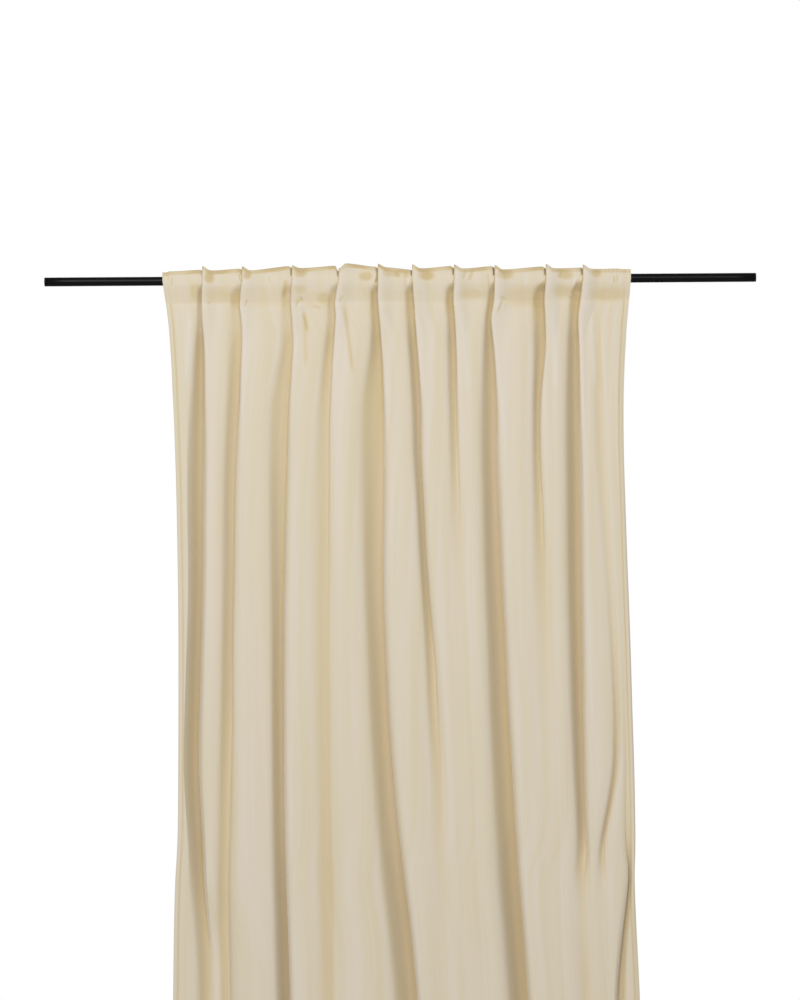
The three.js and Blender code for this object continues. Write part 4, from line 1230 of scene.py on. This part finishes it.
class CURTAIN_OT_cloth(bpy.types.Operator):
    """Make the velvet panel with its folds, pleated heading, hems and stitching"""
    bl_idname = "curtain.cloth"
    bl_label = "Velvet panel"

    def execute(self, context):
        settings = context.scene.curtain_cloth
        surface = ClothSurface(settings)
        half = settings.cloth_thickness / MM / 2
        cloth, front_faces, back_faces = velvet_panel(surface, half)
        cloth.data.materials.append(velvet_material(settings))
        backing = woven_material("velvet_backing", tuple(settings.backing_colour), 900, 0.3)
        cloth.data.materials.append(backing)
        slots = np.zeros(len(cloth.data.polygons), dtype=np.int32)
        slots[front_faces:back_faces] = 1
        cloth.data.polygons.foreach_set("material_index", slots)
        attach(cloth, BODY)
        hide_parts("curtain_cloth")
        stitches = cloth_stitches(surface, half)
        thread = woven_material("sewing_thread", tuple(settings.thread_colour), 3000, 0.2)
        stitches.data.materials.append(thread)
        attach(stitches, BODY)
        return {"FINISHED"}


class CURTAIN_OT_heading(bpy.types.Operator):
    """Make the tape behind the pleats, its straps and their stitching"""
    bl_idname = "curtain.heading"
    bl_label = "Tape and straps"

    def execute(self, context):
        half = context.scene.curtain_cloth.cloth_thickness / MM / 2
        weave = woven_material("tape_weave", tuple(context.scene.curtain_heading.tape_colour), 520, 0.6)
        low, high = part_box("heading_tape")
        tape, flat = heading_tape(low[0] / MM, high[0] / MM, half)
        tape.data.materials.append(weave)
        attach(tape, BODY)
        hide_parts("heading_tape")
        places = []
        for node in TAB_NODES:
            left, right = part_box(node)
            places.append((left[0] + right[0]) / 2 / MM)
            width = (right[0] - left[0]) / MM
            piece, size = strap(node.replace("tab", "strap"), places[-1], width, half)
            piece.data.materials.append(weave)
            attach(piece, BODY)
            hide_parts(node)
        tacks = tack_stitches(places, width, (low[0] / MM, high[0] / MM), half)
        tacks.data.materials.append(weave)
        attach(tacks, BODY)
        return {"FINISHED"}


class CURTAIN_OT_rod(bpy.types.Operator):
    """Make the painted rod and the plugs in its ends"""
    bl_idname = "curtain.rod"
    bl_label = "Rod and plugs"

    def execute(self, context):
        settings = context.scene.curtain_rod
        colour = tuple(settings.paint_colour)
        low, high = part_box("rod_tube")
        tube = rod_tube(low[0] / MM, high[0] / MM)
        tube.data.materials.append(coated_material("black_paint", colour, settings.paint_roughness, 900))
        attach(tube, BODY)
        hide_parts("rod_tube")
        plastic = coated_material("black_plastic", tuple(channel * 1.3 for channel in colour), 0.5, 1400)
        for node, flip in (("rod_cap_left", True), ("rod_cap_right", False)):
            low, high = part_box(node)
            end = (low if flip else high)[0] / MM
            plug = rod_plug(node.replace("cap", "plug"), end, flip)
            plug.data.materials.append(plastic)
            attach(plug, BODY)
            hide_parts(node)
        return {"FINISHED"}


# The point of the rod's plane at the middle of the picture, in millimetres
PICTURE_MIDDLE = (-3.8, 0, -495.7)

# The studio's floor: how many sides its round edge has, how far below the hem it lies in metres, and its
# colour
FLOOR_SIDES = 96
FLOOR_BELOW = 0.02
FLOOR_COLOUR = (0.72, 0.72, 0.71, 1)

# The studio lights: place and size in metres, power in watts, and the point that they are turned to
LIGHT_AIM = (0, 0, -0.9)
LIGHTS = (
    {"name": "key_light", "place": (-1.3, -5.2, 1.9), "size": 2.0, "power": 163},
    {"name": "fill_light", "place": (0.6, -5.4, 1.3), "size": 2.6, "power": 99},
)


class CURTAIN_OT_stage(bpy.types.Operator):
    """Make the floor, the soft light and the camera"""
    bl_idname = "curtain.stage"
    bl_label = "Stage"

    def execute(self, context):
        settings = context.scene.curtain_stage
        context.scene.view_settings.view_transform = "Standard"
        self.add_surround(context, settings)
        self.add_floor(context, settings)
        for row in LIGHTS:
            lamp = bpy.data.lights.new(row["name"], "AREA")
            lamp.size = row["size"]
            lamp.energy = row["power"] * settings.light_strength
            light = bpy.data.objects.new(row["name"], lamp)
            light.location = row["place"]
            aim = Vector(LIGHT_AIM) - Vector(row["place"])
            light.rotation_euler = aim.to_track_quat("-Z", "Y").to_euler()
            context.scene.collection.objects.link(light)
        self.add_camera(context, settings)
        return {"FINISHED"}

    def add_surround(self, context, settings):
        """Even light from all around, in front of white paper."""
        world = bpy.data.worlds.new("studio")
        world.use_nodes = True
        tree = world.node_tree
        light = tree.nodes["Background"]
        light.inputs["Color"].default_value = (1, 1, 1, 1)
        light.inputs["Strength"].default_value = settings.surround_strength
        paper = tree.nodes.new("ShaderNodeBackground")
        paper.inputs["Color"].default_value = (1, 1, 1, 1)
        seen = tree.nodes.new("ShaderNodeLightPath")
        choice = tree.nodes.new("ShaderNodeMixShader")
        tree.links.new(seen.outputs["Is Camera Ray"], choice.inputs[0])
        tree.links.new(light.outputs[0], choice.inputs[1])
        tree.links.new(paper.outputs[0], choice.inputs[2])
        tree.links.new(choice.outputs[0], tree.nodes["World Output"].inputs["Surface"])
        context.scene.world = world

    def add_floor(self, context, settings):
        mesh = bpy.data.meshes.new("studio_floor")
        level = FRAME_BOUNDS[0][2] - FLOOR_BELOW
        turn = np.linspace(0, 2 * math.pi, FLOOR_SIDES, endpoint=False)
        rim = [(settings.floor_size * math.cos(angle), settings.floor_size * math.sin(angle), level)
               for angle in turn]
        mesh.from_pydata(rim, [], [list(range(len(rim)))])
        floor = bpy.data.objects.new("studio_floor", mesh)
        context.scene.collection.objects.link(floor)
        material, shader = new_material("floor_paper")
        set_inputs(material, shader, {"Base Color": FLOOR_COLOUR, "Roughness": 0.9})
        mesh.materials.append(material)

    def add_camera(self, context, settings):
        lens = bpy.data.cameras.new("camera")
        lens.sensor_fit = "VERTICAL"
        lens.sensor_height = 36
        lens.lens = lens.sensor_height * settings.camera_distance / settings.picture_height
        camera = bpy.data.objects.new("camera", lens)
        roll = settings.camera_roll
        right = Vector((math.cos(roll), 0, -math.sin(roll)))
        up = Vector((math.sin(roll), 0, math.cos(roll)))
        turn = Matrix((right, up, right.cross(up))).transposed()
        aim = Vector(PICTURE_MIDDLE) * MM
        place = aim + right.cross(up) * settings.camera_distance
        camera.matrix_world = Matrix.Translation(place) @ turn.to_4x4()
        context.scene.collection.objects.link(camera)
        context.scene.camera = camera


SETTINGS = (
    ("curtain_cloth", CurtainClothSettings),
    ("curtain_heading", CurtainHeadingSettings),
    ("curtain_rod", CurtainRodSettings),
    ("curtain_stage", CurtainStageSettings),
)
OPERATORS = (CURTAIN_OT_cloth, CURTAIN_OT_heading, CURTAIN_OT_rod, CURTAIN_OT_stage)


class CURTAIN_PT_pieces(bpy.types.Panel):
    """The curtain's pieces and sizes in the sidebar"""
    bl_idname = "CURTAIN_PT_pieces"
    bl_label = "Velvet curtain"
    bl_space_type = "VIEW_3D"
    bl_region_type = "UI"
    bl_category = "Curtain"

    def draw(self, context):
        for operator in OPERATORS:
            self.layout.operator(operator.bl_idname)
        for name, settings in SETTINGS:
            box = self.layout.box()
            for key in settings.__annotations__:
                box.prop(getattr(context.scene, name), key)


def register():
    for name, settings in SETTINGS:
        bpy.utils.register_class(settings)
        setattr(bpy.types.Scene, name, bpy.props.PointerProperty(type=settings))
    for operator in OPERATORS:
        bpy.utils.register_class(operator)
    bpy.utils.register_class(CURTAIN_PT_pieces)


def unregister():
    bpy.utils.unregister_class(CURTAIN_PT_pieces)
    for operator in reversed(OPERATORS):
        bpy.utils.unregister_class(operator)
    for name, settings in reversed(SETTINGS):
        delattr(bpy.types.Scene, name)
        bpy.utils.unregister_class(settings)


def main():
    register()
    bpy.ops.curtain.cloth()
    bpy.ops.curtain.heading()
    bpy.ops.curtain.rod()
    bpy.ops.curtain.stage()


if __name__ == "__main__":
    main()
